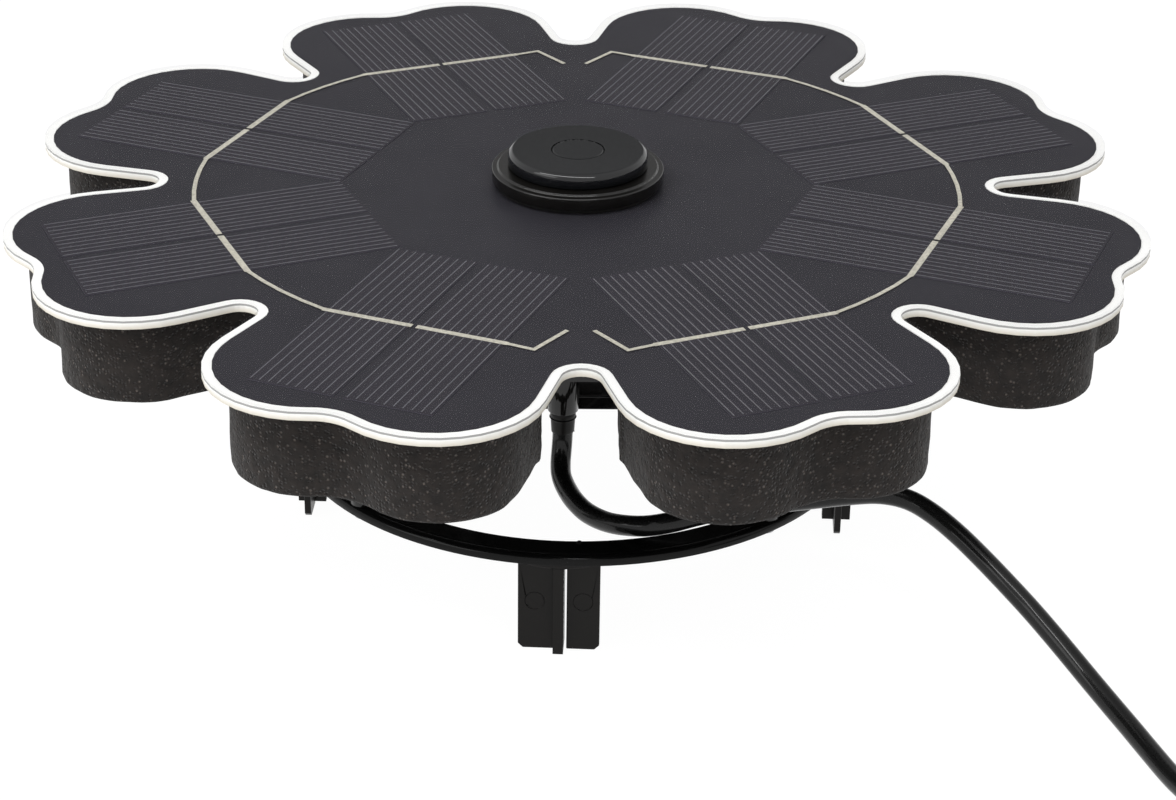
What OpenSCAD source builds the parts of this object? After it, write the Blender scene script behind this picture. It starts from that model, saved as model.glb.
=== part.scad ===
// Floating solar fountain pump on its plug-in stand.
// The origin is on the floor under the middle of the flower, +Z is up,
// and the side where the lead comes out faces -Y.

/* [Panel] */
// Height of the black face above the floor
face_h = 98.6; // [96:0.2:112]
// Distance from the middle to the centre of a lobe, along its petal's axis
lobe_reach = 123.8; // [121:0.2:127]
// Distance of a lobe's centre from its petal's axis
lobe_offset = 15.7; // [14.5:0.1:16.4]
// Radius of a lobe
lobe_r = 23.2; // [21.5:0.1:24.4]
// Radius of the dip between the two lobes of a petal
dip_r = 14.7; // [11:0.1:18]
// Distance from the middle to the centre of the notch between two petals
notch_reach = 115.7; // [112:0.1:117.5]
// Radius of the notch's round end
notch_r = 7.3; // [6.5:0.1:8.2]
// Width of the pale margin round the black face
rim_w = 2.4; // [1.6:0.1:3.4]
// Thickness of the board
board_t = 2.2; // [1.6:0.1:3]
// Thickness of the black film
film_t = 0.15; // [0.1:0.05:0.3]
// Thickness of the clear sheet above the ribbons
cover_t = 0.35; // [0.2:0.05:1]

/* [Cells] */
// Thickness of a solar cell
cell_t = 0.2; // [0.1:0.05:0.4]
// Thickness of the fingers and ribbons
finger_t = 0.1; // [0.05:0.05:0.2]
// Width of a silver finger
finger_w = 0.24; // [0.1:0.02:0.5]
// Distance from one finger to the next
finger_pitch = 2.3; // [1.8:0.1:2.36]
// Distance between the two half cells' nearest fingers
half_gap = 3.7; // [3:0.1:4.4]
// Where the fingers start, from the middle
cell_start = 58.5; // [57.5:0.5:66]
// Where the fingers end, from the middle
cell_end = 137.7; // [128:0.1:139]
// Distance from the middle to a petal's ribbon
bus_reach = 98; // [94:0.5:102]
// Width of a petal's ribbon
bus_w = 1.6; // [1:0.1:2.4]
// Width of the thin links between ribbons
link_w = 1.1; // [0.6:0.1:1.6]

/* [Foam float] */
// Thickness of the foam
foam_t = 23; // [20:0.5:25]
// How far the foam stays inside the edge of the black face
foam_inset = 3.3; // [2:0.1:6]
// Width of the channel for the lead in the foam
channel_w = 18; // [14:0.5:20]

/* [Middle flange and cap] */
// Radius of the flange
flange_r = 22.8; // [21.5:0.1:26]
// Height of the flange
flange_t = 3.4; // [2:0.1:5]
// Radius of the flange's threaded tube
hub_r = 13; // [12.8:0.1:13.4]
// Thickness of the gasket under the flange
gasket_t = 0.8; // [0.5:0.1:1.5]
// Radius of the cap's disc
cap_r = 18.5; // [16:0.1:20.5]
// Height of the cap's disc
cap_t = 4; // [3.5:0.1:6]
// Bevel round the cap's top edge
cap_bevel = 1.2; // [0.4:0.1:1.6]
// Radius of the cap's skirt in the flange
skirt_r = 11; // [10.6:0.1:11.1]
// Radius of the stopper
plug_r = 6.8; // [5.5:0.1:7.4]

/* [Strainer box] */
// Width of the box
box_w = 54; // [54:0.5:60]
// Height of the box under the board
box_h = 47.25; // [46.5:0.25:52]
// Wall of the box
box_wall = 2; // [1.6:0.1:2.2]
// Height of the lid's visible skirt
lid_h = 3.9; // [3:0.1:5]
// How far the lid's rim goes up into the box
lid_rim_h = 4; // [3:0.1:5]
// Width of an inlet slot
inlet_w = 2; // [1:0.1:3]
// Distance from one inlet slot to the next
inlet_pitch = 4.4; // [4:0.1:4.8]

/* [Pump] */
// Distance of the pump's axis under the board
pump_drop = 28.25; // [27.5:0.25:29]
// Radius of the impeller
impeller_r = 9; // [8:0.1:9.2]
// Radius of the rotor's magnet
magnet_r = 6.5; // [5.6:0.1:6.8]
// Length of the rotor's magnet
magnet_l = 12; // [9:0.1:12]
// Radius of the fixed shaft
shaft_r = 1.25; // [1:0.05:1.5]
// Outer radius of the outlet tube
outlet_r = 5.5; // [5.2:0.1:5.7]

/* [Stand] */
// Height of the legs up to the ring
leg_h = 26.4; // [24:0.2:29]
// Inner radius of the ring
ring_in = 69.2; // [67:0.1:70]
// Outer radius of the ring
ring_out = 78; // [77:0.1:82]
// Thickness of the ring
ring_t = 2.5; // [2.2:0.1:4]
// Width of a leg's wings
wing_w = 21; // [16:0.5:26]
// Thickness of a leg's wings
wing_t = 1.8; // [1.4:0.1:2.4]
// Thickness of a leg's rib
rib_t = 2.7; // [2:0.1:3.4]
// How far the rib stands out of the wings
rib_out = 3; // [2:0.1:4]
// Turn of the front leg from the front
leg_turn = -3.4; // [-8:0.1:8]
// Radius of a post
post_r = 4; // [3.4:0.1:4.2]
// Turn of the posts from the front-back line
post_turn = 41.6; // [38:0.2:48]
// Thickness of the collar and arms
collar_t = 3; // [2.4:0.1:4]

/* [Lead] */
// Diameter of the lead
cord_d = 5.4; // [5:0.1:5.6]
// Radius at the middle of the coil's turns
coil_mid = 30; // [29:0.1:31]
// Distance from one turn of the coil to the next, across and up
cord_step = 5.9; // [5.9:0.05:6.1]
// Turns in each layer of the coil
layer_turns = 3.35; // [3.2:0.05:3.4]

/* [Hidden] */
$fn = 64;

// Overrun of every cut, general clearance, running clearance and the gap under a cap
cut = 1;
fit = 0.3;
run = 0.05;
seat = 0.2;

// Heights of the panel's layers
petals = 8;
petal_turn = 360 / petals;
board_high = face_h - film_t;
board_low = board_high - board_t;
cell_high = face_h + cell_t;
finger_high = cell_high + finger_t;
cover_high = finger_high + cover_t;
foam_low = board_low - foam_t;

// Sizes of the cells
cell_margin = 0.6;
cell_clip = 0.6;
fingers = 10;
half_w = (fingers - 1) * finger_pitch;
bus_break = 1.2;
bus_inset = 1;
front_shift = 2;
side_shift = 0.8;
hook_in = [3.2, 91.5];
hook_bend = [11, 102];
link_parts = 4;

// Sizes of the middle
hub_hole = hub_r + fit;
flange_low = cover_high + gasket_t;
flange_step = 0.6;
flange_step_w = 1.6;
flange_high = flange_low + flange_t + flange_step;
cap_low = flange_high + seat;
cap_high = cap_low + cap_t;
skirt_h = 8;
skirt_low = cap_low - skirt_h;
hub_bore = skirt_r + run;
plug_h = 8;
plug_low = cap_high - plug_h;
plug_bore = plug_r + run;
plug_ledge = 1;
edge_cut = 0.2;
lug_w = 5;
lug_h = 1.5;
lug_out = 1.1;
hub_groove_h = 2.1;
hub_groove_r = hub_bore + lug_out + run;
entry_w = lug_w + 3 * fit;
seal_r = 0.65;
seal_drop = 2.2;
seal_groove = 1.5;
box_top = board_low - box_wall;
nut_h = 6;
nut_wall = 3;
nut_r = hub_r + nut_wall;
nut_notch = 2;
nut_notches = 12;
tube_end = 1;
hub_low = box_top - nut_h - tube_end;
seal_well_h = 3;
web_low = hub_low + seal_well_h;
web_t = 2.5;
web_bore = outlet_r + fit;
outlet_seal_r = 0.8;
seal_well_r = outlet_r + 2 * outlet_seal_r + fit;

// Sizes of the box
box_half = box_w / 2;
inner_half = box_half - box_wall;
box_low = board_low - box_h;
lid_high = box_low - seat;
lid_low = lid_high - lid_h;
lid_floor = 2;
rim_half = inner_half - fit;
rim_wall = 1.6;
collar_low = foam_low - collar_t;
catch_h = 3;
catch_out = 1.2;
catch_w = 8;
catch_place = 14;
catch_high = collar_low - seat;
inlets = 9;
inlet_low = box_low + lid_rim_h + cut;
inlet_high = catch_high - catch_h - cut;
lid_inlet_l = 40;
foam_gap = 1;

// Sizes of the pump
chamber_gap = 2;
chamber_r = impeller_r + chamber_gap;
outlet_in = 3.8;
outlet_step = 0.2;
pump_x = outlet_in + outlet_step - chamber_r;
pump_z = board_low - pump_drop;
chamber_half = 6;
can_out = 3;
can_r = chamber_r + can_out;
can_wall = 0.8;
can_front = -20.8;
can_back_t = 2;
end_t = 1.8;
well_gap = 0.4;
well_in = magnet_r + well_gap;
well_wall = 0.8;
well_out = well_in + well_wall;
magnet_y = -chamber_half - well_gap;
well_end = magnet_y - magnet_l - well_gap;
outlet_rise = 1.5;
outlet_high = web_low + outlet_rise;
cover_plate = 2.4;
screw_r = 1.2;
screw_head_r = 2.2;
screw_head_h = 1.5;
ear_r = 2.4;
ear_out = 1.3;
ear_ring = can_r + ear_out;
ear_turn = -12;
ear_depth = 5;
eye_r = 5;
spokes = 3;
boss_r = 2.4;
shaft_seat = 1;
groove_out = 1;
groove_in = chamber_r + groove_out;
groove_w = 1;
groove_d = 1;
bush_r = 2.6;
bush_bore = shaft_r + run;
hub_shank = 3.6;
disc_t = 1.2;
blades = 6;
blade_t = 1.2;
impeller_gap = 1.4;
impeller_front = chamber_half - impeller_gap;
disc_low = -chamber_half + impeller_gap;
stator_t = 1.4;
pole_w = 4;
poles = 4;
stator_low = -17;
stator_high = -9.5;
coil_wall = 1.1;
pcb_t = 1.2;
pcb_gap = 0.4;
pcb_low = can_front + pcb_gap;
bracket_y = -16;
bracket_left = -21.5;
bracket_right = 10.5;
bracket_w = 5.6;
bracket_t = 3;
bracket_r = 2.6;
bracket_sink = 2;
bracket_low = pump_z + can_r - bracket_sink;
bracket_high = bracket_low + bracket_t;
sponge_gap = 0.3;
sponge_front = chamber_half + cover_plate + screw_head_h + sponge_gap;

// Sizes of the leads inside
thin_d = 3.6;
thin_z = board_low - 5.75;
thin_bend = 5.4;
thin_start = -84;
grommet_t = 1.2;
socket_in = 2.4;
thin_drop = can_front + socket_in;
thin_wall = thin_drop - thin_bend;
block_l = 10;
block_w = 12;
block_h = 9.75;
grommet_r = 3.6;
grommet_neck = 2.9;
socket_r = 2.3;
gland_x = -3.5;
gland_out = 4.6;
gland_y = -(box_half + gland_out);
gland_r = 3.4;
gland_t = 2;
gland_neck = 2.6;
gland_neck_h = 6;
gland_boss_r = 4.1;
gland_boss_drop = 1.7;
gland_boss_low = box_low - gland_boss_drop;
gland_boss_h = 13;
gland_boss_high = box_low + gland_boss_h;
relief_h = 4.3;
relief_r = 3.3;
relief_tip = 3.05;
inner_d = 4;
elbow_h = 9;
inner_z = box_low + elbow_h;

// Sizes of the stand
ring_mid = (ring_in + ring_out) / 2;
ring_high = leg_h + ring_t;
ring_edge = 1.3;
ring_groove_in = 2.6;
ring_groove_r = ring_out - ring_groove_in;
ring_groove_w = 0.4;
ring_groove_d = 0.25;
pip_r = 0.6;
pip_turn = 270.5;
ring_screw_r = 1.4;
ring_screw_l = 12;
wing_cut = 1.2;
slit_w = 0.64;
pad_t = 1;
pad_w = 18.2;
pad_arc = 19;
peg_r = 1.5;
peg_h = 1.6;
peg_place = 6;
mark_r = 2.5;
mark_d = 0.15;
mark_place = 6.2;
mark_h = 14;
collar_in = box_half + fit;
collar_w = 4.7;
arm_w = 8;

// The lead's own points, from the strain relief to the floor
lead_points = [
  [-3.5, -31.6, 41], [-3.6, -31.9, 38.2], [-3.8, -32.9, 35.5], [-4, -34.7, 33.1], [-3.9, -37.3, 31.3],
  [-3.3, -40, 30.2], [-1.9, -44, 29.2], [0, -48.6, 28.7], [3, -53.7, 28.4], [7.4, -59.3, 29.1],
  [12, -63.9, 30.6], [17.6, -66.9, 32.1], [24, -67, 33.3], [31, -65.4, 34.5], [40, -63.8, 35.8],
  [50, -63, 36.8], [60, -61, 37], [70, -58.4, 36.8], [78.4, -56.8, 36.3], [85.4, -58.2, 35.4],
  [91.2, -62.5, 33.8], [97, -68.6, 31.3], [103, -74.6, 27.5], [108.6, -80.2, 23.5], [114, -85.6, 19.4],
  [118.6, -91.2, 15.9], [123, -97, 12.5], [127.2, -103.2, 9.4], [131.3, -110.2, 6.8], [135, -117.6, 4.9],
  [138.4, -126, 3.6], [141.9, -136, 3], [145.8, -147, 3.4]
];
lead_sides = 10;
lead_parts = 2;

// The coil lies past the corner where the lead leaves
coil_x = 189;
coil_y = -153;
coil_start = 202;
coil_rings = 24;
coil_sides = 6;
layers = 4;
turns = layers * layer_turns;
coil_span = layer_turns * cord_step;
coil_outer = coil_mid + coil_span / 2;
coil_inner = coil_mid - coil_span / 2;
climb_share = 0.5;
tie_t = 0.8;
tie_w = 10;
tie_gap = 0.2;
tie_tab = 9;
tie_angle = 270;
coil_low = tie_t + tie_gap + cord_d / 2;
end_angle = coil_start + 360 * turns;
tail_r = 4 * cord_d;
tail_sweep = ((90 - end_angle) % 360 + 360) % 360;
tail_rings = 12;
lift_before = 37;
lift_after = 36;

// Sizes of the plug on the lead's far end
grip_r = 5;
grip_l = 20;
neck_l = 14;
neck_r = 3.2;
sleeve_r = 2.75;
sleeve_l = 9.5;
sleeve_bore = 2.2;
pin_bore = 1.05;
collar_r = 4.2;
collar_l = 1.2;
tail_rise = cord_d / 2 + tie_gap + grip_r;

// Points on an arc about c, from angle a to angle b in n steps
function arc(c, r, a, b, n) = [for (i = [0 : n]) let (t = a + (b - a) * i / n) c + r * [cos(t), sin(t)]];
function turned(p, a) = [p.x * cos(a) - p.y * sin(a), p.x * sin(a) + p.y * cos(a)];
function unit(v) = v / norm(v);

// Right half of a petal about +Y, grown by d: dip, lobe, flank and notch
dip_c = [0, lobe_reach + sqrt(pow(lobe_r + dip_r, 2) - pow(lobe_offset, 2))];
lobe_c = [lobe_offset, lobe_reach];
notch_c = notch_reach * [sin(petal_turn / 2), cos(petal_turn / 2)];
to_lobe = lobe_c - dip_c;
to_notch = notch_c - lobe_c;
dip_end = atan2(to_lobe.y, to_lobe.x);
lobe_end = atan2(to_notch.y, to_notch.x) + acos((lobe_r + notch_r) / norm(to_notch));
function half_petal(d) = concat(
  arc(dip_c, dip_r - d, -90, dip_end, 3),
  arc(lobe_c, lobe_r + d, dip_end + 180, lobe_end, 12),
  arc(notch_c, notch_r - d, lobe_end + 180, 270 - petal_turn / 2, 5)
);
function petal(d) = let (h = half_petal(d), n = len(h)) concat(
  [for (i = [n - 1 : -1 : 0]) h[i]],
  [for (i = [1 : n - 2]) [-h[i].x, h[i].y]]
);
function flower(d) = [for (k = [0 : petals - 1], p = petal(d)) turned(p, (k + 0.5) * petal_turn)];

// Common shapes between two heights or two corners
module disc(r, low, high) translate([0, 0, low]) cylinder(r = r, h = high - low);
module ring(r, bore, low, high) difference() {
  disc(r, low, high);
  disc(bore, low - cut, high + cut);
}
module slab(d, low, high) translate([0, 0, low]) linear_extrude(high - low) polygon(flower(d));
module block(low, high) translate(low) cube(high - low);
module square_block(half, low, high) block([-half, -half, low], [half, half, high]);
module o_ring(mid, r, z) translate([0, 0, z]) rotate_extrude() translate([mid, 0]) circle(r = r);
module on_pump() translate([pump_x, 0, pump_z]) rotate([-90, 0, 0]) children();
module pump_ears() for (i = [0 : 3]) rotate([0, 0, ear_turn + 90 * i]) translate([ear_ring, 0, 0]) children();

// How far a petal's cells lie off its axis, away from the front and back
function cell_shift(k) = let (m = k % 4) (m < 2 ? -1 : 1) * (m == 0 || m == 3 ? front_shift : side_shift);

module panel_board() color("gainsboro") difference() {
  slab(rim_w, board_low, board_high);
  disc(hub_hole, board_low - cut, board_high + cut);
}

module panel_film() color("black") difference() {
  slab(0, board_high, face_h);
  disc(hub_hole, board_high - cut, face_h + cut);
}

module solar_cells() color("midnightblue") for (k = [0 : petals - 1])
  rotate([0, 0, (k + 0.5) * petal_turn]) translate([cell_shift(k), 0, 0]) for (s = [-1, 1])
    translate([s * (half_gap + half_w) / 2, (cell_start + cell_end) / 2, face_h + cell_t / 2])
      cube([half_w + 2 * cell_margin, cell_end - cell_start + 2 * cell_clip, cell_t], center = true);

module cell_fingers() color("silver") for (k = [0 : petals - 1])
  rotate([0, 0, (k + 0.5) * petal_turn]) translate([cell_shift(k), 0, cell_high])
    for (s = [-1, 1], i = [0 : fingers - 1]) {
      x = s * (half_gap / 2 + i * finger_pitch);
      for (y = [[cell_start, bus_reach - bus_w / 2], [bus_reach + bus_w / 2, cell_end]])
        translate([x - finger_w / 2, y[0], 0]) cube([finger_w, y[1] - y[0], finger_t]);
    }

// A flat band of width w along the points p, with mitred bends and square ends
function across(v) = [-v.y, v.x];
function mitre(p, i) = let (n = len(p) - 1, a = unit(p[max(i, 1)] - p[max(i, 1) - 1]),
                            b = unit(p[min(i, n - 1) + 1] - p[min(i, n - 1)]), m = unit(across(a + b)))
  m / (m * across(a));
module band(p, w) polygon(concat(
  [for (i = [0 : len(p) - 1]) p[i] - w / 2 * mitre(p, i)],
  [for (i = [len(p) - 1 : -1 : 0]) p[i] + w / 2 * mitre(p, i)]
));

// Where a link starts inside a petal's ribbon, in the petal's own directions
function bus_end(k, s) = [s * (half_gap / 2 + half_w + bus_inset) + cell_shift(k), bus_reach];
function bus_place(k, s) = turned(bus_end(k, s), (k + 0.5) * petal_turn);

module busbar_ribbons() color("silver") translate([0, 0, cell_high]) linear_extrude(finger_t) {
  for (k = [0 : petals - 1]) {
    rotate((k + 0.5) * petal_turn) for (s = [-1, 1]) {
      from = cell_shift(k) + s * bus_break / 2;
      to = bus_end(k, s).x + s * link_w / 2;
      translate([min(from, to), bus_reach - bus_w / 2]) square([abs(to - from), bus_w]);
    }
    // The links bow along a circle, except at the front and the back
    from = bus_place(k, -1);
    next = bus_place((k + 1) % petals, 1);
    start = atan2(from.y, from.x);
    sweep = ((atan2(next.y, next.x) - start) % 360 + 360) % 360;
    if (k % 4 != 3) band([for (i = [0 : link_parts]) let (t = i / link_parts, a = start + sweep * t)
      (norm(from) + (norm(next) - norm(from)) * t) * [cos(a), sin(a)]], link_w);
    // There each ribbon ends in a hook towards the middle
    else for (end = [from, next]) let (side = sign(end.x), way = sign(end.y))
      band([end, [side * hook_bend.x, way * hook_bend.y], [side * hook_in.x, way * hook_in.y]], link_w);
  }
}

// The clear sheet is a shallow tray turned over the film, and grips the margin
module cover_sheet() color("lightcyan", 0.4) difference() {
  slab(rim_w, board_high, cover_high);
  slab(0, board_high - cut, finger_high);
  disc(hub_hole, board_high - cut, cover_high + cut);
}

module junction_block() color("dimgray") block(
  [-block_w / 2, thin_start - block_l, board_low - block_h],
  [block_w / 2, thin_start, board_low]);

// The panel's lead runs in the foam's channel and turns down to the motor
module panel_lead() color("black") {
  translate([0, thin_start, thin_z]) rotate([-90, 0, 0]) cylinder(d = thin_d, h = thin_wall - thin_start);
  intersection() {
    translate([0, thin_wall, thin_z - thin_bend]) rotate([0, 90, 0]) rotate_extrude()
      translate([thin_bend, 0]) circle(d = thin_d);
    block([-thin_d, thin_wall, thin_z - thin_bend], [thin_d, thin_drop + thin_d, thin_z + thin_d]);
  }
  translate([0, thin_drop, 0]) disc(thin_d / 2, bracket_high, thin_z - thin_bend);
}

module foam_float() color("darkslategray") difference() {
  slab(-foam_inset, foam_low, board_low);
  square_block(box_half + foam_gap, foam_low - cut, board_low + cut);
  block([-channel_w / 2, -notch_reach, foam_low - cut], [channel_w / 2, 0, board_low + cut]);
}

module hub_flange() color("black") difference() {
  union() {
    disc(flange_r, flange_low, flange_low + flange_t);
    disc(flange_r - flange_step_w, flange_low, flange_high);
    disc(hub_r, hub_low, flange_low + flange_t);
  }
  disc(hub_bore, web_low + web_t, flange_high + cut);
  disc(web_bore, hub_low - cut, flange_high);
  disc(seal_well_r, hub_low - cut, web_low);
  // Groove for the cap's lugs, and the two ways into it
  disc(hub_groove_r, skirt_low - run, skirt_low - run + hub_groove_h);
  intersection() {
    disc(hub_groove_r, skirt_low, flange_high + cut);
    block([-entry_w / 2, -flange_r, skirt_low], [entry_w / 2, flange_r, flange_high + 2 * cut]);
  }
}

module hub_gasket() color("dimgray") ring(flange_r - flange_step_w / 2, hub_hole, cover_high, flange_low);

module outlet_cap() color("black") difference() {
  union() {
    rotate_extrude() polygon([
      [0, cap_low], [cap_r, cap_low], [cap_r, cap_high - cap_bevel],
      [cap_r - cap_bevel / 3, cap_high - cap_bevel / 3], [cap_r - cap_bevel, cap_high], [0, cap_high]
    ]);
    disc(skirt_r, skirt_low, cap_low);
    intersection() {
      disc(skirt_r + lug_out, skirt_low, skirt_low + lug_h);
      block([-flange_r, -lug_w / 2, skirt_low - cut], [flange_r, lug_w / 2, skirt_low + lug_h + cut]);
    }
  }
  disc(plug_bore, plug_low - run, cap_high + cut);
  disc(plug_bore - plug_ledge, skirt_low - cut, cap_high);
  translate([0, 0, cap_high - edge_cut])
    cylinder(r1 = plug_bore, r2 = plug_bore + 2 * edge_cut, h = 2 * edge_cut);
  difference() {
    disc(skirt_r + cut, cap_low - seal_drop - seal_groove / 2, cap_low - seal_drop + seal_groove / 2);
    disc(hub_bore - 2 * seal_r - 2 * run, skirt_low, cap_low);
  }
}

module cap_seal() color("dimgray") o_ring(hub_bore - seal_r - run, seal_r, cap_low - seal_drop);

module outlet_plug() color("black") rotate_extrude() polygon([
  [0, plug_low], [plug_r, plug_low], [plug_r, cap_high - edge_cut],
  [plug_r - edge_cut, cap_high], [0, cap_high]
]);

module clamp_nut() color("black") difference() {
  ring(nut_r, hub_r + run, box_top - nut_h, box_top);
  for (i = [0 : nut_notches - 1]) rotate([0, 0, i * 360 / nut_notches]) translate([nut_r, 0, 0])
    disc(nut_notch / 2, box_top - nut_h - cut, box_top + cut);
}

// Upright slots side by side on a wall that faces +Y
module inlet_row(low, high) for (i = [0 : inlets - 1])
  block([(i - (inlets - 1) / 2) * inlet_pitch - inlet_w / 2, inner_half - cut, low],
        [(i - (inlets - 1) / 2) * inlet_pitch + inlet_w / 2, box_half + cut, high]);

module strainer_box() color("black") difference() {
  union() {
    difference() {
      square_block(box_half, box_low, board_low);
      square_block(inner_half, box_low - cut, box_top);
    }
    // Screw posts for the pump, catches for the stand and the boss of the gland
    for (x = [bracket_left, bracket_right]) translate([x, bracket_y, 0])
      disc(bracket_r, bracket_high, box_top + cut);
    for (a = [0, 90, 270]) rotate([0, 0, a]) for (x = [-catch_place, catch_place])
      block([x - catch_w / 2, box_half - box_wall / 2, catch_high - catch_h],
            [x + catch_w / 2, box_half + catch_out, catch_high]);
    translate([gland_x, gland_y, 0]) disc(gland_boss_r, gland_boss_low, gland_boss_high);
    block([gland_x - gland_boss_r, gland_y, box_low], [gland_x + gland_boss_r, -inner_half, gland_boss_high]);
  }
  for (a = [0, 90, 270]) rotate([0, 0, a]) inlet_row(inlet_low, inlet_high);
  disc(hub_hole, box_top - cut, board_low + cut);
  for (x = [bracket_left, bracket_right]) translate([x, bracket_y, 0])
    disc(screw_r + run, bracket_high - cut, bracket_high + 3 * bracket_t);
  translate([gland_x, gland_y, 0]) disc(gland_neck + run, gland_boss_low - cut, inner_z);
  translate([gland_x, gland_y, inner_z]) sphere(r = gland_neck + run);
  translate([gland_x, gland_y, inner_z]) rotate([-90, 0, 0])
    cylinder(r = gland_neck + run, h = -inner_half - gland_y + cut);
  translate([0, -inner_half + cut, thin_z]) rotate([90, 0, 0])
    cylinder(r = grommet_neck + run, h = box_wall + 2 * cut);
}

module strainer_lid() color("black") difference() {
  union() {
    square_block(box_half, lid_low, lid_high);
    square_block(rim_half, lid_low, box_low + lid_rim_h);
  }
  square_block(rim_half - rim_wall, lid_low + lid_floor, box_low + lid_rim_h + cut);
  for (i = [0 : inlets - 1]) {
    x = (i - (inlets - 1) / 2) * inlet_pitch;
    block([x - inlet_w / 2, -lid_inlet_l / 2, lid_low - cut],
          [x + inlet_w / 2, lid_inlet_l / 2, lid_low + lid_floor + cut]);
  }
}

module filter_sponge() color("slategray") block(
  [-inner_half + sponge_gap, sponge_front, box_low + lid_rim_h + sponge_gap],
  [inner_half - sponge_gap, inner_half - sponge_gap, hub_low - sponge_gap]);

// The gland hangs in its boss, and its tapered end grips the lead
module cable_gland() color("black") translate([gland_x, gland_y, 0]) {
  disc(gland_r, gland_boss_low - gland_t, gland_boss_low);
  disc(gland_neck, gland_boss_low - run, gland_boss_low + gland_neck_h);
  translate([0, 0, gland_boss_low - gland_t - relief_h])
    cylinder(r1 = relief_tip, r2 = relief_r, h = relief_h);
}

module lead_grommet() color("dimgray") translate([0, 0, thin_z]) rotate([90, 0, 0]) difference() {
  union() {
    disc(grommet_neck, inner_half - grommet_t, box_half + grommet_t);
    disc(grommet_r, inner_half - grommet_t, inner_half);
    disc(grommet_r, box_half, box_half + grommet_t);
  }
  disc(thin_d / 2 + run, inner_half - grommet_t - cut, box_half + grommet_t + cut);
}

// Short inner end of the lead, from the elbow to the motor
module inner_lead() color("black") translate([gland_x, gland_y, inner_z]) rotate([-90, 0, 0])
  cylinder(d = inner_d, h = can_front - end_t - gland_y);

module motor_case() color("dimgray") difference() {
  union() {
    on_pump() {
      ring(can_r, can_r - can_wall, can_front, -chamber_half - can_back_t);
      disc(can_r, -chamber_half - can_back_t, chamber_half);
      disc(well_out, well_end - well_wall, -chamber_half);
      pump_ears() disc(ear_r, chamber_half - ear_depth, chamber_half - run);
    }
    disc(outlet_r, pump_z, outlet_high);
    translate([0, thin_drop, 0]) disc(socket_r, bracket_high - 2 * bracket_t, bracket_high);
    block([bracket_left - bracket_r, bracket_y - bracket_w / 2, bracket_low],
          [bracket_right + bracket_r, bracket_y + bracket_w / 2, bracket_high]);
  }
  on_pump() {
    disc(chamber_r, -chamber_half, chamber_half + cut);
    disc(well_in, well_end, chamber_half);
    disc(bush_bore, well_end - well_wall / 2, well_end + cut);
    difference() {
      disc(can_r - can_wall, can_front - cut, -chamber_half - can_back_t);
      disc(well_out, well_end - well_wall, chamber_half);
    }
    pump_ears() disc(screw_r + run, chamber_half - ear_depth + cut, chamber_half + cut);
  }
  disc(outlet_in, pump_z, outlet_high + cut);
  for (x = [bracket_left, bracket_right]) translate([x, bracket_y, 0])
    disc(screw_r + run, bracket_low - cut, bracket_high + cut);
}

module motor_end_cap() color("black") on_pump() disc(can_r, can_front - end_t, can_front);

module stator_core() color("silver") on_pump() {
  ring(can_r - can_wall - run, can_r - can_wall - stator_t, stator_low, stator_high);
  for (i = [0 : poles - 1]) rotate([0, 0, (i + 0.5) * 360 / poles])
    block([well_out + seat, -pole_w / 2, stator_low],
          [can_r - can_wall - stator_t / 2, pole_w / 2, stator_high]);
}

// Each coil is a square loop round one pole
module stator_coils() color("peru") on_pump() for (i = [0 : poles - 1])
  rotate([0, 0, (i + 0.5) * 360 / poles]) difference() {
    side = pole_w / 2 + run;
    block([well_out + seat, -side - coil_wall, stator_low - run - coil_wall],
          [can_r - can_wall - stator_t - 3 * seat, side + coil_wall, stator_high + run + coil_wall]);
    block([well_out - cut, -side, stator_low - run], [can_r, side, stator_high + run]);
  }

module circuit_board() color("darkgreen") on_pump()
  ring(can_r - can_wall - run, well_out + seat, pcb_low, pcb_low + pcb_t);

module volute_cover() color("dimgray") on_pump() difference() {
  union() {
    disc(can_r, chamber_half, chamber_half + cover_plate);
    pump_ears() disc(ear_r, chamber_half, chamber_half + cover_plate);
  }
  pump_ears() disc(screw_r + run, chamber_half - cut, chamber_half + cover_plate + cut);
  ring(groove_in + groove_w, groove_in, chamber_half - cut, chamber_half + groove_d);
  disc(bush_bore, chamber_half - cut, chamber_half + shaft_seat + run);
  // Inlet windows between the spokes round the boss
  for (i = [0 : spokes - 1]) rotate([0, 0, i * 360 / spokes]) intersection() {
    ring(eye_r, boss_r, chamber_half - cut, chamber_half + cover_plate + cut);
    translate([0, 0, chamber_half - cut]) linear_extrude(cover_plate + 2 * cut) polygon([
      for (p = [[0, 0], [2, 0], [2, 2], [0, 2]]) blade_t / 2 * [1 / tan(180 / spokes), 1]
        + eye_r * (p.x * [1, 0] + p.y * [cos(360 / spokes), sin(360 / spokes)])
    ]);
  }
}

module volute_seal() color("black") on_pump()
  o_ring(groove_in + groove_w / 2, groove_w / 2 - run, chamber_half + groove_w / 2);

module outlet_seal() color("black")
  o_ring(outlet_r + outlet_seal_r + run, outlet_seal_r, web_low - outlet_seal_r - run);

module pump_shaft() color("silver") on_pump()
  disc(shaft_r, well_end - well_wall / 2 + run, chamber_half + shaft_seat);

module rotor_magnet() color("dimgray") on_pump() ring(magnet_r, bush_r, magnet_y - magnet_l, magnet_y);

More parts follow.
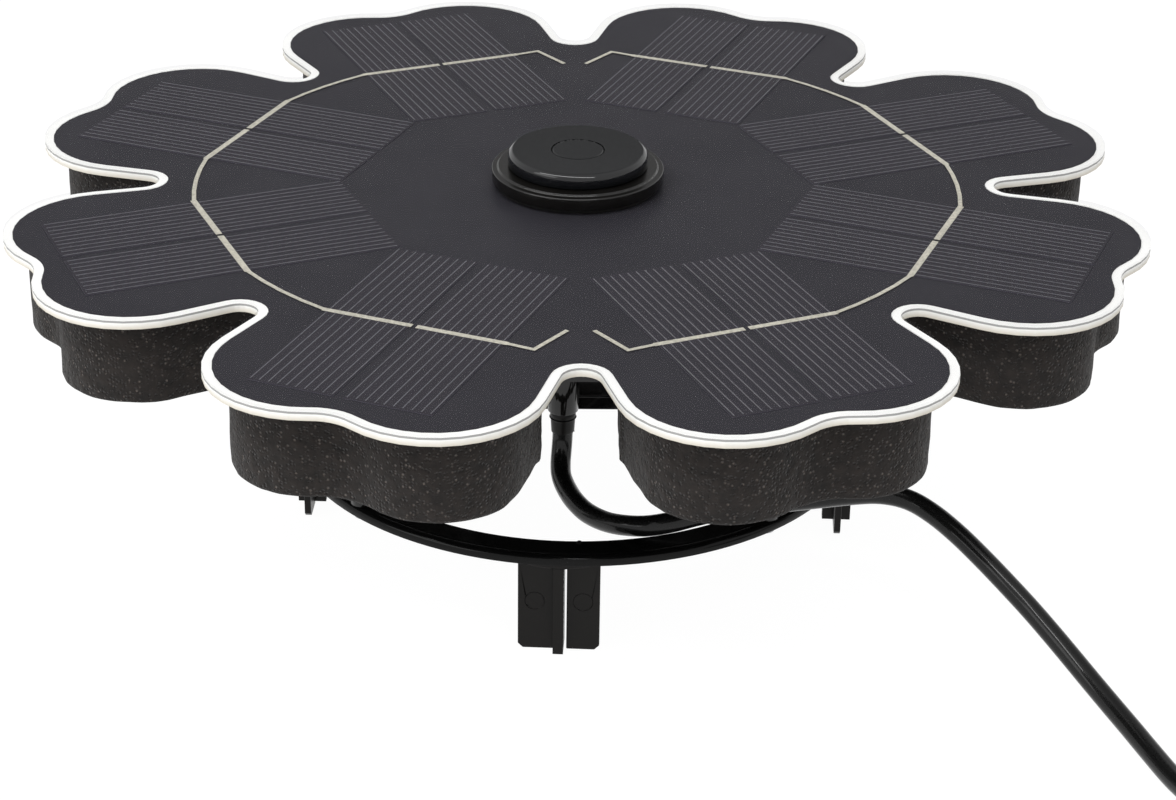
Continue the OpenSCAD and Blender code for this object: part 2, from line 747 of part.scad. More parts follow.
module impeller() color("white") on_pump() difference() {
  union() {
    disc(hub_shank, magnet_y, impeller_front);
    disc(impeller_r, disc_low, disc_low + disc_t);
    for (i = [0 : blades - 1]) rotate([0, 0, i * 360 / blades])
      block([hub_shank - blade_t / 2, -blade_t / 2, disc_low], [impeller_r, blade_t / 2, impeller_front]);
  }
  disc(bush_r, magnet_y - cut, impeller_front + cut);
}

module rotor_bush() color("ivory") on_pump() ring(bush_r, bush_bore, magnet_y - magnet_l, impeller_front);

// A screw along +Z: its head lies below z = 0 and its shank above
module screw(r, head_r, head_h, l) {
  disc(r, -head_h / 2, l);
  difference() {
    disc(head_r, -head_h, 0);
    block([-head_r / 2, -head_h / 6, -head_h - cut], [head_r / 2, head_h / 6, -head_h / 2]);
    block([-head_h / 6, -head_r / 2, -head_h - cut], [head_h / 6, head_r / 2, -head_h / 2]);
  }
}

module cover_screws() color("silver") on_pump() pump_ears() translate([0, 0, chamber_half + cover_plate])
  mirror([0, 0, 1]) screw(screw_r, screw_head_r, screw_head_h, cover_plate + ear_depth - 1.5 * cut);

module pump_screws() color("silver") for (x = [bracket_left, bracket_right])
  translate([x, bracket_y, bracket_low]) screw(screw_r, screw_head_r, screw_head_h, 3 * bracket_t);

// Square collar under the foam, with four arms and posts that stand on the ring
module stand_frame() color("black") difference() {
  union() {
    square_block(collar_in + collar_w, collar_low, foam_low);
    for (i = [0 : 3]) rotate([0, 0, post_turn + 90 * i]) {
      block([collar_in, -arm_w / 2, collar_low], [ring_mid, arm_w / 2, foam_low]);
      translate([ring_mid, 0, 0]) disc(post_r, ring_high, foam_low);
    }
  }
  square_block(collar_in, collar_low - cut, foam_low + cut);
  for (i = [0 : 3]) rotate([0, 0, post_turn + 90 * i]) translate([ring_mid, 0, 0])
    disc(ring_screw_r + run, ring_high - cut, leg_h + ring_screw_l + cut);
}

module stand_ring() color("black") difference() {
  union() {
    rotate_extrude() polygon(concat(
      [[ring_in, leg_h], [ring_out, leg_h]],
      arc([ring_out - ring_edge, ring_high - ring_edge], ring_edge, 0, 90, 5),
      [[ring_groove_r + ring_groove_w, ring_high],
       [ring_groove_r + ring_groove_w / 2, ring_high - ring_groove_d],
       [ring_groove_r, ring_high], [ring_in, ring_high]]
    ));
    // Moulded pip on the front of the ring
    rotate([0, 0, pip_turn]) translate([ring_in + 2 * pip_r, 0, 0])
      disc(pip_r, ring_high - ring_t / 2, ring_high + pip_r);
  }
  for (i = [0 : 3]) rotate([0, 0, post_turn + 90 * i]) translate([ring_mid, 0, 0])
    disc(ring_screw_r + seat, leg_h - cut, ring_high + cut);
  for (i = [0 : 3]) rotate([0, 0, leg_turn + 90 * i]) for (y = [-peg_place, peg_place])
    translate([ring_mid, y, 0]) disc(peg_r + run, leg_h - cut, leg_h + peg_h + run);
}

module ring_screws() color("silver") for (i = [0 : 3]) rotate([0, 0, post_turn + 90 * i])
  translate([ring_mid, 0, leg_h]) screw(ring_screw_r, 2 * ring_screw_r, screw_head_h, ring_screw_l);

// A leg under the ring, seen from outside: left wing, rib, slit and right wing, under one pad
module foot(a) color("black") rotate([0, 0, a]) translate([ring_mid, 0, 0]) difference() {
  union() {
    rotate([90, 0, 90]) translate([0, 0, -wing_t / 2]) linear_extrude(wing_t) polygon([
      [-wing_w / 2 + wing_cut, 0], [wing_w / 2 - wing_cut, 0], [wing_w / 2, wing_cut],
      [wing_w / 2, leg_h], [-wing_w / 2, leg_h], [-wing_w / 2, wing_cut]
    ]);
    block([-wing_t / 2 - rib_out, -rib_t / 2, 0], [wing_t / 2 + rib_out, rib_t / 2, leg_h]);
    intersection() {
      translate([ring_out - ring_mid - fit - pad_arc, 0, 0]) disc(pad_arc, leg_h - pad_t, leg_h);
      block([ring_in - ring_mid + fit, -pad_w / 2, leg_h - pad_t], [pad_arc, pad_w / 2, leg_h]);
    }
    for (y = [-peg_place, peg_place]) translate([0, y, 0]) disc(peg_r, leg_h - pad_t, leg_h + peg_h);
  }
  block([-wing_t, rib_t / 2, -cut], [wing_t, rib_t / 2 + slit_w, leg_h - pad_t]);
  for (y = [-mark_place, mark_place], s = [-1, 1]) translate([s * wing_t / 2, y, mark_h]) rotate([0, 90, 0])
    disc(mark_r, -mark_d, mark_d);
}

module foot_front() foot(leg_turn - 90);
module foot_right() foot(leg_turn);
module foot_back() foot(leg_turn + 90);
module foot_left() foot(leg_turn + 180);

// A round tube swept along a path, with faces square to the first and last directions
function way(path, i, first, last) =
  i == 0 ? first : i >= len(path) - 1 ? last : unit(path[i + 1] - path[i - 1]);
function frames(path, first, last, side) = [
  for (i = 0, t = first, n = unit(side - (side * first) * first); i < len(path);
       i = i + 1, t = way(path, i, first, last), n = unit(n - (n * t) * t)) [t, n]
];
module swept(path, r, sides, first, last, side) {
  f = frames(path, first, last, side);
  n = len(path);
  points = [for (i = [0 : n - 1], j = [0 : sides - 1])
    path[i] + r * (cos(360 * j / sides) * f[i][1] + sin(360 * j / sides) * cross(f[i][0], f[i][1]))];
  walls = [for (i = [0 : n - 2], j = [0 : sides - 1]) let (a = i * sides + j, b = i * sides + (j + 1) % sides)
    each [[a, b + sides, b], [a, a + sides, b + sides]]];
  ends = [for (j = [1 : sides - 2]) each [[0, j, j + 1], (n - 1) * sides * [1, 1, 1] + [0, j + 1, j]]];
  polyhedron(points, concat(walls, ends));
}

// A smooth curve through the points, with parts steps between each two
function between(a, b, c, d, t) =
  (2 * b + (c - a) * t + (2 * a - 5 * b + 4 * c - d) * t * t + (3 * b - 3 * c + d - a) * t * t * t) / 2;
function smooth(p, parts) = let (n = len(p) - 1) concat(
  [for (i = [0 : n - 1], k = [0 : parts - 1]) between(
    i == 0 ? 2 * p[0] - p[1] : p[i - 1], p[i], p[i + 1],
    i == n - 1 ? 2 * p[n] - p[n - 1] : p[i + 2], k / parts)],
  [p[n]]
);

// The coil: each layer spirals in or out, and the lead climbs in the half turn where it turns back
function climb(x) = x <= 0 ? 0 : x >= 1 ? 1 : (1 - cos(180 * x)) / 2;
function total(v, i = 0) = i >= len(v) ? 0 : v[i] + total(v, i + 1);
function coil_radius(t) = let (u = t / layer_turns, k = floor(u), f = (u - k) * coil_span)
  k % 2 == 0 ? coil_outer - f : coil_inner + f;
function coil_rise(t) = cord_step * total(
  [for (j = [1 : layers - 1]) climb((t - j * layer_turns) / climb_share + 0.5)]);
function tail_lift(s) = tail_rise * climb((s + lift_before) / (lift_before + lift_after));
function coil_point(t) = let (r = coil_radius(t), a = coil_start + 360 * t)
  [coil_x + r * cos(a), coil_y + r * sin(a),
   coil_low + coil_rise(t) + tail_lift((t - turns) * 2 * PI * coil_outer)];
function tail_point(b) = let (c = (coil_outer - tail_r) * [cos(end_angle), sin(end_angle)])
  [coil_x + c.x + tail_r * cos(end_angle + b), coil_y + c.y + tail_r * sin(end_angle + b),
   coil_low + coil_rise(turns) + tail_lift(b * PI / 180 * tail_r)];

coil_in_way = unit(coil_point(1 / coil_rings / coil_rings) - coil_point(0));
coil_entry = coil_point(0) - cord_d * coil_in_way;
plug_way = [-1, 0, 0];
coil_exit = tail_point(tail_sweep) + cord_d * plug_way;
coil_path = concat(
  [coil_entry],
  [for (i = [0 : floor(turns * coil_rings - 0.5)]) coil_point(i / coil_rings)],
  [for (i = [0 : tail_rings]) tail_point(tail_sweep * i / tail_rings)],
  [coil_exit]
);

// Least distance of the coil's points from its other stretches, less the lead's diameter
function off_line(p, a, b) = let (d = b - a, s = max(0, min(1, (p - a) * d / (d * d)))) norm(p - a - s * d);
function least_gap(path, skip) = min([
  for (i = [0 : len(path) - 1], j = [0 : len(path) - 2]) if (abs(i - j) > skip)
    off_line(path[i], path[j], path[j + 1])
]) - cord_d;

lead_path = smooth(concat(lead_points, [coil_entry]), lead_parts);

module supply_lead() color("black")
  swept(lead_path, cord_d / 2, lead_sides, [0, 0, -1], coil_in_way, [1, 0, 0]);

module lead_coil() color("black") {
  echo(least_gap_in_coil = least_gap(coil_path, coil_rings / 2));
  swept(coil_path, cord_d / 2, coil_sides, coil_in_way, plug_way, [0, 0, 1]);
}

// The strap's inner size follows the turns that pass through it
tie_first = (tie_angle - coil_start) / 360;
tie_passes = [for (i = [0 : floor(turns - tie_first)]) coil_radius(tie_first + i)];
tie_far = max(tie_passes) + cord_d / 2 + tie_gap + cord_step * tie_w / (4 * PI * coil_outer);
tie_near = sqrt(pow(min(tie_passes) - cord_d / 2, 2) - pow(tie_w / 2, 2)) - 2 * tie_gap;
tie_high = coil_low + (layers - 1) * cord_step + cord_d / 2 + tie_gap;
module coil_tie() color("dimgray") translate([coil_x, coil_y, 0]) rotate([0, 0, tie_angle]) {
  difference() {
    block([tie_near - tie_t, -tie_w / 2, 0], [tie_far + tie_t, tie_w / 2, tie_high + tie_t]);
    block([tie_near, -tie_w, tie_t], [tie_far, tie_w, tie_high]);
  }
  block([tie_far + tie_t / 2, -tie_w / 2, tie_high + tie_t - tie_tab],
        [tie_far + 2 * tie_t, tie_w / 2, tie_high + tie_t]);
}

// The plug lies along the coil's top
module on_plug() translate(coil_exit) rotate([0, -90, 0]) children();
module plug_body() color("black") on_plug() {
  cylinder(r1 = neck_r, r2 = neck_r + cord_d / 8, h = neck_l);
  difference() {
    union() {
      translate([0, 0, neck_l]) cylinder(r = grip_r, h = grip_l);
      translate([0, 0, neck_l - grip_r / 2]) cylinder(r1 = neck_r, r2 = grip_r, h = grip_r / 2);
    }
    for (i = [0 : 2], s = [0, 180]) rotate([0, 0, s]) block(
      [grip_r - edge_cut, -grip_r, neck_l + (i + 1) * grip_l / 6],
      [grip_r + cut, grip_r, neck_l + (i + 1.5) * grip_l / 6]);
  }
}
module plug_sleeve() color("silver") on_plug() difference() {
  union() {
    disc(collar_r, neck_l + grip_l, neck_l + grip_l + collar_l);
    disc(sleeve_r, neck_l + grip_l, neck_l + grip_l + collar_l + sleeve_l);
  }
  disc(sleeve_bore, neck_l + grip_l - cut, neck_l + grip_l + collar_l + sleeve_l + cut);
}
module plug_insulator() color("black") on_plug()
  ring(sleeve_bore, pin_bore, neck_l + grip_l, neck_l + grip_l + collar_l + sleeve_l - seat);

panel_board();
panel_film();
solar_cells();
cell_fingers();
busbar_ribbons();
cover_sheet();
junction_block();
panel_lead();
foam_float();
hub_flange();
hub_gasket();
outlet_cap();
cap_seal();
outlet_plug();
clamp_nut();
strainer_box();
strainer_lid();
filter_sponge();
cable_gland();
lead_grommet();
inner_lead();
motor_case();
motor_end_cap();
stator_core();
stator_coils();
circuit_board();
volute_cover();
volute_seal();
outlet_seal();
pump_shaft();
rotor_magnet();
impeller();
rotor_bush();
cover_screws();
pump_screws();
stand_frame();
stand_ring();
ring_screws();
foot_front();
foot_right();
foot_back();
foot_left();
supply_lead();
lead_coil();
coil_tie();
plug_body();
plug_sleeve();
plug_insulator();
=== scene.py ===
# Looks of the floating solar fountain pump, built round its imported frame.
import math

import bmesh
import bpy
from bpy.props import FloatProperty, FloatVectorProperty, IntProperty, PointerProperty
from mathutils import Matrix, Vector, noise
from mathutils.geometry import tessellate_polygon


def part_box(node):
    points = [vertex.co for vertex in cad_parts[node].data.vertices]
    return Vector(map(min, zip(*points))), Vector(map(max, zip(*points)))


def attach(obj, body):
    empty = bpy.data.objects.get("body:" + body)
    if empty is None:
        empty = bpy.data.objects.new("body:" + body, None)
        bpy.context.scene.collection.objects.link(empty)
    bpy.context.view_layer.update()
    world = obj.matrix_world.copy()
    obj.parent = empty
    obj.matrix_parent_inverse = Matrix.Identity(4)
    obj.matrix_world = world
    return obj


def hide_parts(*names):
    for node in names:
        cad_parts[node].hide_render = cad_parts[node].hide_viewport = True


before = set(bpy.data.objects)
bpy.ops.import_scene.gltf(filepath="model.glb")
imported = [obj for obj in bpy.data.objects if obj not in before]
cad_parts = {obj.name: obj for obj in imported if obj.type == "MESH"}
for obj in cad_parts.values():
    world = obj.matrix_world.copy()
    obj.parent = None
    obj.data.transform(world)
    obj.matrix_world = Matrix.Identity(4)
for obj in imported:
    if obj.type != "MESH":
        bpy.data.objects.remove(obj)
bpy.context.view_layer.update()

bl_info = {
    "name": "Solar Fountain Pump",
    "version": (1, 0, 0),
    "blender": (4, 5, 0),
    "location": "3D View > Sidebar > Fountain",
    "description": "Builds the looks of a floating solar fountain pump round its frame",
    "category": "Object",
}

MM = 0.001
MICRON = 0.001 * MM


def linear(*rgb):
    """A colour written as 0 to 255 on a screen, as scene linear values."""
    return tuple(c / 255 / 12.92 if c <= 10 else ((c / 255 + 0.055) / 1.055) ** 2.4 for c in rgb)


def tint(name, text, *rgb):
    return FloatVectorProperty(
        name=name, description=text, default=linear(*rgb), size=3, min=0, max=1, subtype="COLOR")


def size(name, text, value):
    return FloatProperty(name=name, description=text, default=value * MM, min=0, unit="LENGTH")


def share(name, text, value):
    return FloatProperty(name=name, description=text, default=value, min=0, max=1, subtype="FACTOR")


def power(name, text, value):
    return FloatProperty(name=name, description=text, default=value, unit="POWER")


# Settings


class PanelLook(bpy.types.PropertyGroup):
    """Sizes and colours of the flower-shaped panel"""
    film: tint("Film", "Black film under the cells", 45, 44, 49)
    cell: tint("Cells", "Silicon of the half cells", 48, 46, 52)
    finger: tint("Fingers", "Printed silver lines", 104, 103, 109)
    ribbon: tint("Ribbons", "Tinned ribbons between the cells", 196, 192, 178)
    margin: tint("Margin", "Pale top of the board round the film", 252, 252, 250)
    edge: tint("Edge", "Cut side of the board", 214, 207, 192)
    finger_width: size("Finger width", "Width of one silver line", 0.24)
    finger_pitch: size("Finger pitch", "From one silver line to the next", 2.3)
    half_gap: size("Half gap", "Between the two half cells' nearest lines", 3.7)
    cell_start: size("Cell start", "Where the lines start, from the middle", 58.5)
    cell_end: size("Cell end", "Where the lines end, from the middle", 137.7)
    bus_reach: size("Ribbon place", "From the middle to a petal's ribbon", 98.0)
    bus_width: size("Ribbon width", "Width of a petal's ribbon", 1.6)
    fingers: IntProperty(name="Fingers", description="Silver lines on a half cell", default=10, min=2, max=20)


class FoamLook(bpy.types.PropertyGroup):
    """Sizes and colours of the foam float and the filter sponge"""
    foam: tint("Foam", "Closed-cell foam of the float", 32, 28, 26)
    speck: tint("Speck", "Light specks in the foam", 98, 90, 84)
    sponge: tint("Sponge", "Open-cell sponge in the box", 62, 64, 66)
    pore: size("Pore", "Size of a pore in the foam", 0.8)
    soft_edge: size("Soft edge", "Rounding of the cut edges", 1.1)
    waviness: size("Waviness", "How far the cut wanders", 0.22)


class MouldingLook(bpy.types.PropertyGroup):
    """Colours of the mouldings and the metal"""
    gloss: tint("Gloss", "Glossy cap and stopper", 16, 17, 19)
    satin: tint("Satin", "Flange, box, frame and legs", 17, 16, 15)
    leg: tint("Leg", "Plug-in legs", 18, 16, 14)
    ring: tint("Ring", "Ring under the float", 13, 13, 13)
    motor: tint("Motor", "Pump and motor housing", 52, 53, 55)
    steel: tint("Steel", "Screws and shaft", 178, 179, 182)
    texture: size("Texture", "Grain of the satin mouldings", 0.35)


class LeadLook(bpy.types.PropertyGroup):
    """Sizes and colours of the lead, its strap and its plug"""
    jacket: tint("Jacket", "Outer jacket of the lead", 19, 19, 19)
    strap: tint("Strap", "Woven strap round the coil", 26, 27, 30)
    plating: tint("Plating", "Plated barrel of the plug", 196, 194, 188)
    diameter: size("Diameter", "Diameter of the lead", 5.4)
    length: FloatProperty(name="Length", description="Whole length of the lead", default=2.83, unit="LENGTH")
    coil_mid: size("Coil", "Radius at the middle of the coil's turns", 30.0)
    step: size("Step", "From one turn to the next, across and up", 5.9)
    layer_turns: FloatProperty(name="Turns", description="Turns in each layer", default=3.35, min=1, max=6)
    layers: IntProperty(name="Layers", description="Layers of the coil", default=4, min=1, max=6)


class StageLook(bpy.types.PropertyGroup):
    """Camera, floor and lamps"""
    floor: tint("Floor", "Plain floor", 238, 238, 238)
    lens: FloatProperty(name="Lens", description="Focal length of the camera in mm", default=85.32)
    world: share("Sky", "Level of the light from all round", 0.65)
    key: power("Key", "Power of the long lamp over the front", 6.8)
    fill: power("Fill", "Power of the lamp on the left", 2.56)
    back: power("Back", "Power of the lamp behind", 1.6)
    show_through: share("Bright floor", "How much of the floor is plain white to the camera", 0.9)


# Node helpers


NODE_ACROSS, NODE_DOWN, NODE_COLUMNS = 190, 230, 12
MIX_A, MIX_B, MIX_COLOUR = 6, 7, 2


def feed(tree, node, inputs):
    """Links a node's inputs to sockets or sets them to values."""
    for key, value in inputs.items():
        if isinstance(value, bpy.types.NodeSocket):
            tree.links.new(value, node.inputs[key])
        else:
            node.inputs[key].default_value = value


def put(tree, kind, inputs=None, **settings):
    """Adds a node in the next free place, sets it and feeds its inputs."""
    node = tree.nodes.new(kind)
    row, column = divmod(len(tree.nodes), NODE_COLUMNS)
    node.location = (NODE_ACROSS * column, -NODE_DOWN * row)
    for key, value in settings.items():
        setattr(node, key, value)
    feed(tree, node, inputs or {})
    return node


def maths(tree, operation, a, b=0.0, clamp=False):
    return put(tree, "ShaderNodeMath", {0: a, 1: b}, operation=operation, use_clamp=clamp).outputs[0]


def times(tree, a, b):
    return maths(tree, "MULTIPLY", a, b)


def minus(tree, a, b):
    return maths(tree, "SUBTRACT", a, b)


def spread(tree, value, low, high, to_low=0.0, to_high=1.0):
    """The value's stretch from low to high, spread over to_low to to_high."""
    return put(tree, "ShaderNodeMapRange", {
        "Value": value, "From Min": low, "From Max": high, "To Min": to_low, "To Max": to_high}).outputs[0]


def blend(tree, factor, a, b):
    """Colour a where the factor is 0 and b where it is 1."""
    node = put(tree, "ShaderNodeMix", {0: factor}, data_type="RGBA")
    for key, colour in ((MIX_A, a), (MIX_B, b)):
        linked = isinstance(colour, bpy.types.NodeSocket)
        feed(tree, node, {key: colour if linked else (*colour[:3], 1)})
    return node.outputs[MIX_COLOUR]


def toned(rgb, factor):
    """A colour made lighter or darker."""
    return tuple(min(1.0, c * factor) for c in rgb)


def group(name, outputs, **amounts):
    """A new shader node group for a vector and some amounts, with what it's given and its output node."""
    tree = bpy.data.node_groups.new(name, "ShaderNodeTree")
    tree.interface.new_socket("Vector", in_out="INPUT", socket_type="NodeSocketVector")
    for label, value in amounts.items():
        socket = tree.interface.new_socket(label, in_out="INPUT", socket_type="NodeSocketFloat")
        socket.default_value = value
    for label in outputs:
        tree.interface.new_socket(label, in_out="OUTPUT", socket_type="NodeSocketFloat")
    return tree, tree.nodes.new("NodeGroupInput").outputs, tree.nodes.new("NodeGroupOutput")


def noise_at(tree, vector, scale, detail=3.0, roughness=0.55):
    return put(tree, "ShaderNodeTexNoise", {
        "Vector": vector, "Scale": scale, "Detail": detail, "Roughness": roughness}).outputs["Fac"]


def scaled(tree, vector, *factors):
    return put(tree, "ShaderNodeVectorMath", {0: vector, 1: factors}, operation="MULTIPLY").outputs[0]


def grain_group():
    """Fine moulded grain, with a slow drift of tone."""
    tree, given, end = group("Moulded grain", ["Height", "Drift", "Fine"], Size=0.4 * MM)
    scale = maths(tree, "DIVIDE", 1.0, given["Size"])
    fine = noise_at(tree, given["Vector"], scale, 4.0)
    slow = noise_at(tree, given["Vector"], times(tree, scale, 0.035), 2.0)
    feed(tree, end, {
        "Height": fine,
        "Drift": spread(tree, slow, 0.35, 0.65),
        "Fine": spread(tree, fine, 0.38, 0.62)})


def pores_group():
    """Cut foam: small round pores, some of them open and dark, some catching light."""
    tree, given, end = group("Foam pores", ["Height", "Light speck", "Tone"], Size=0.6 * MM)
    scale = maths(tree, "DIVIDE", 1.0, given["Size"])
    cells = put(tree, "ShaderNodeTexVoronoi", {"Vector": given["Vector"], "Scale": scale})
    tone = put(tree, "ShaderNodeSeparateColor", {0: cells.outputs["Color"]}).outputs[0]
    open_pore = maths(tree, "GREATER_THAN", tone, 0.45)
    dome = spread(tree, cells.outputs["Distance"], 0.0, 0.55)
    rough = noise_at(tree, given["Vector"], times(tree, scale, 0.3), 3.0)
    depth = times(tree, minus(tree, 1.0, dome), open_pore)
    middle = spread(tree, cells.outputs["Distance"], 0.5, 0.2)
    feed(tree, end, {
        "Height": minus(tree, rough, times(tree, depth, 0.8)),
        "Light speck": times(tree, spread(tree, tone, 0.8, 1.0), middle),
        "Tone": spread(tree, rough, 0.3, 0.7)})


def handling_group():
    """Faint rubbed patches and hairline scratches, as on a piece that has been handled."""
    tree, given, end = group("Handling marks", ["Mask"], Amount=0.3)
    patch = spread(tree, noise_at(tree, given["Vector"], 38.0, 3.0), 0.5, 0.72)
    turned = put(tree, "ShaderNodeMapping", {
        "Vector": given["Vector"], "Rotation": (0.3, 0.2, 0.7), "Scale": (1.0, 0.05, 0.4)}).outputs[0]
    line = spread(tree, noise_at(tree, turned, 2600.0, 1.0), 0.70, 0.78)
    both = maths(tree, "MAXIMUM", times(tree, patch, 0.6), line)
    feed(tree, end, {"Mask": times(tree, both, given["Amount"])})


def brushed_group():
    """Fine lines drawn along X, as on rolled or turned metal."""
    tree, given, end = group("Drawn metal", ["Height", "Tone"], Size=0.3 * MM)
    scale = maths(tree, "DIVIDE", 1.0, given["Size"])
    lines = noise_at(tree, scaled(tree, given["Vector"], 0.06, 1.0, 1.0), scale, 2.0)
    feed(tree, end, {"Height": lines, "Tone": spread(tree, lines, 0.3, 0.7)})


def weave_group():
    """A plain weave of flat yarns on a map whose unit is one yarn."""
    tree, given, end = group("Plain weave", ["Height", "Yarn"])
    parts = put(tree, "ShaderNodeSeparateXYZ", {0: given["Vector"]})
    across = maths(tree, "SINE", times(tree, parts.outputs[0], math.pi))
    along = maths(tree, "SINE", times(tree, parts.outputs[1], math.pi))
    weave = times(tree, across, along)
    feed(tree, end, {
        "Height": spread(tree, weave, -1.0, 1.0),
        "Yarn": maths(tree, "ABSOLUTE", weave)})


# Materials


CONTRAST, HANDLED = 1.3, 0.4
POLISH_FROM, POLISH_FULL, COAT_ROUGHNESS = 0.97, 0.8, 0.06
UNDER_SHEET = 0.012
# Painted shade along the top of the board's cut side, where the clear sheet meets it: how far below the top
# it begins and where it is full; and the share of the side over which its warm tone fades into the margin's
GAP_SHADE_LOW, GAP_SHADE_HIGH, WARM_SHARE = 0.6 * MM, 0.5 * MM, 0.7


def new_material(name):
    """A new material's node tree, its surface shader and its Object coordinates."""
    material = bpy.data.materials.new(name + "_finish")
    material.use_nodes = True
    tree = material.node_tree
    tree.nodes.clear()
    shader = put(tree, "ShaderNodeBsdfPrincipled")
    put(tree, "ShaderNodeOutputMaterial", {0: shader.outputs[0]})
    return tree, shader, put(tree, "ShaderNodeTexCoord").outputs["Object"]


def finish(name):
    return bpy.data.materials[name + "_finish"]


def wear(tree, name, place, **values):
    """What one shared effect group gives, placed in a material with its own values."""
    effect = bpy.data.node_groups[name]
    return put(tree, "ShaderNodeGroup", {"Vector": place, **values}, node_tree=effect).outputs


def raised(tree, height, depth, **normal):
    """A surface normal tilted by a height that is depth metres deep."""
    return put(tree, "ShaderNodeBump", {
        "Height": height, "Distance": depth, "Strength": 1.0, **normal}).outputs[0]


def worn_roughness(tree, tone, rough, rubbed, more):
    """Roughness between two values by the tone, and more of it where the piece is rubbed."""
    return maths(tree, "ADD", spread(tree, tone, 0.0, 1.0, *rough), times(tree, rubbed, more), True)


def moulded(name, rgb, grain, depth, rough, marks, level, polish=0.0):
    """A moulded finish: grain, a drift of tone, rubbed patches, and polish on edges and sides."""
    tree, shader, place = new_material(name)
    fine = wear(tree, "Moulded grain", place, Size=grain)
    rubbed = wear(tree, "Handling marks", place, Amount=marks)["Mask"]
    light = toned(rgb, CONTRAST)
    drift = blend(tree, fine["Drift"], toned(rgb, 1 / CONTRAST), rgb)
    speckled = blend(tree, times(tree, fine["Fine"], 0.4), drift, light)
    feed(tree, shader, {
        "Base Color": blend(tree, times(tree, rubbed, 0.5), speckled, light),
        "Roughness": worn_roughness(tree, fine["Fine"], rough, rubbed, 0.12),
        "Specular IOR Level": level,
        "Normal": raised(tree, fine["Height"], depth)})
    if polish:
        normal = put(tree, "ShaderNodeNewGeometry").outputs["Normal"]
        z = put(tree, "ShaderNodeSeparateXYZ", {0: normal}).outputs[2]
        feed(tree, shader, {
            "Coat Weight": spread(tree, z, POLISH_FROM, POLISH_FULL, 0.0, polish),
            "Coat Roughness": COAT_ROUGHNESS})


def metal(name, rgb, line, rough):
    """Drawn or turned metal with fine lines."""
    tree, shader, place = new_material(name)
    drawn = wear(tree, "Drawn metal", place, Size=line)
    rubbed = wear(tree, "Handling marks", place, Amount=HANDLED)["Mask"]
    feed(tree, shader, {
        "Base Color": blend(tree, drawn["Tone"], toned(rgb, 0.82), rgb),
        "Roughness": worn_roughness(tree, drawn["Tone"], rough, rubbed, 0.15),
        "Metallic": 1.0,
        "Normal": raised(tree, drawn["Height"], 20 * MICRON)})


def upward(tree):
    """1 on faces that look up or down and 0 on the sides."""
    normal = put(tree, "ShaderNodeNewGeometry").outputs["True Normal"]
    z = put(tree, "ShaderNodeSeparateXYZ", {0: normal}).outputs[2]
    return spread(tree, maths(tree, "ABSOLUTE", z), 0.3, 0.7)


def board_material(look):
    """Pale laminate: dull printed top, a thin band of painted shade under it where the clear sheet meets the
    board, and a warmer cut side of fine fibres.
    """
    tree, shader, place = new_material("board_laminate")
    low, high = (corner.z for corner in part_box("panel_board"))
    z = put(tree, "ShaderNodeSeparateXYZ", {0: place}).outputs[2]
    fine = wear(tree, "Moulded grain", place, Size=0.5 * MM)
    fibre = noise_at(tree, scaled(tree, place, 1.0, 1.0, 9.0), 900.0, 3.0)
    flat = put(tree, "ShaderNodeNewGeometry").outputs["True Normal"]
    margin = blend(tree, times(tree, fine["Fine"], 0.3), look.margin[:], toned(look.margin, 0.9))
    edge = blend(tree, spread(tree, z, low, low + WARM_SHARE * (high - low)), look.edge[:], look.margin[:])
    edge = blend(tree, times(tree, spread(tree, fibre, 0.35, 0.65), 0.2), edge, look.edge[:])
    # A thin band of painted shade at the top of the cut side, where the clear sheet meets the board
    gap_shade = times(tree, spread(tree, z, high - GAP_SHADE_LOW, high - GAP_SHADE_HIGH), 0.9)
    edge = blend(tree, gap_shade, edge, toned(look.margin, 0.3))
    feed(tree, shader, {
        "Base Color": blend(tree, upward(tree), edge, margin),
        "Roughness": spread(tree, fine["Fine"], 0.0, 1.0, 0.5, 0.65),
        "Normal": raised(tree, fibre, 40 * MICRON, Normal=flat)})


def film_material(look):
    """Black film, seen through the clear sheet: almost even, with a slow cloudiness."""
    tree, shader, place = new_material("black_film")
    fine = wear(tree, "Moulded grain", place, Size=0.6 * MM)
    cloud = spread(tree, noise_at(tree, place, 26.0, 4.0), 0.35, 0.7)
    feed(tree, shader, {
        "Base Color": blend(tree, cloud, look.film[:], toned(look.film, 1.08)),
        "Roughness": spread(tree, fine["Drift"], 0.0, 1.0, 0.34, 0.4),
        "Specular IOR Level": UNDER_SHEET})


def cell_material(look):
    """Silicon with soft crystal patches under its blue-black coating, and cut sides painted lighter to make
    up for their shade.
    """
    tree, shader, place = new_material("silicon_cell")
    grains = put(tree, "ShaderNodeTexVoronoi", {"Vector": place, "Scale": 130.0}, feature="F1")
    tone = put(tree, "ShaderNodeSeparateColor", {0: grains.outputs["Color"]}).outputs[0]
    cloud = spread(tree, noise_at(tree, place, 45.0, 3.0), 0.3, 0.7)
    patch = maths(tree, "ADD", times(tree, tone, 0.35), times(tree, cloud, 0.65))
    base = blend(tree, patch, toned(look.cell, 0.93), toned(look.cell, 1.08))
    # Painted light: the cut sides are three times lighter than the face, to cancel the shade that falls on
    # them
    side = toned(look.cell, 3.0)
    feed(tree, shader, {
        "Base Color": blend(tree, upward(tree), side, base),
        "Roughness": spread(tree, patch, 0.0, 1.0, 0.28, 0.36),
        "Specular IOR Level": UNDER_SHEET})


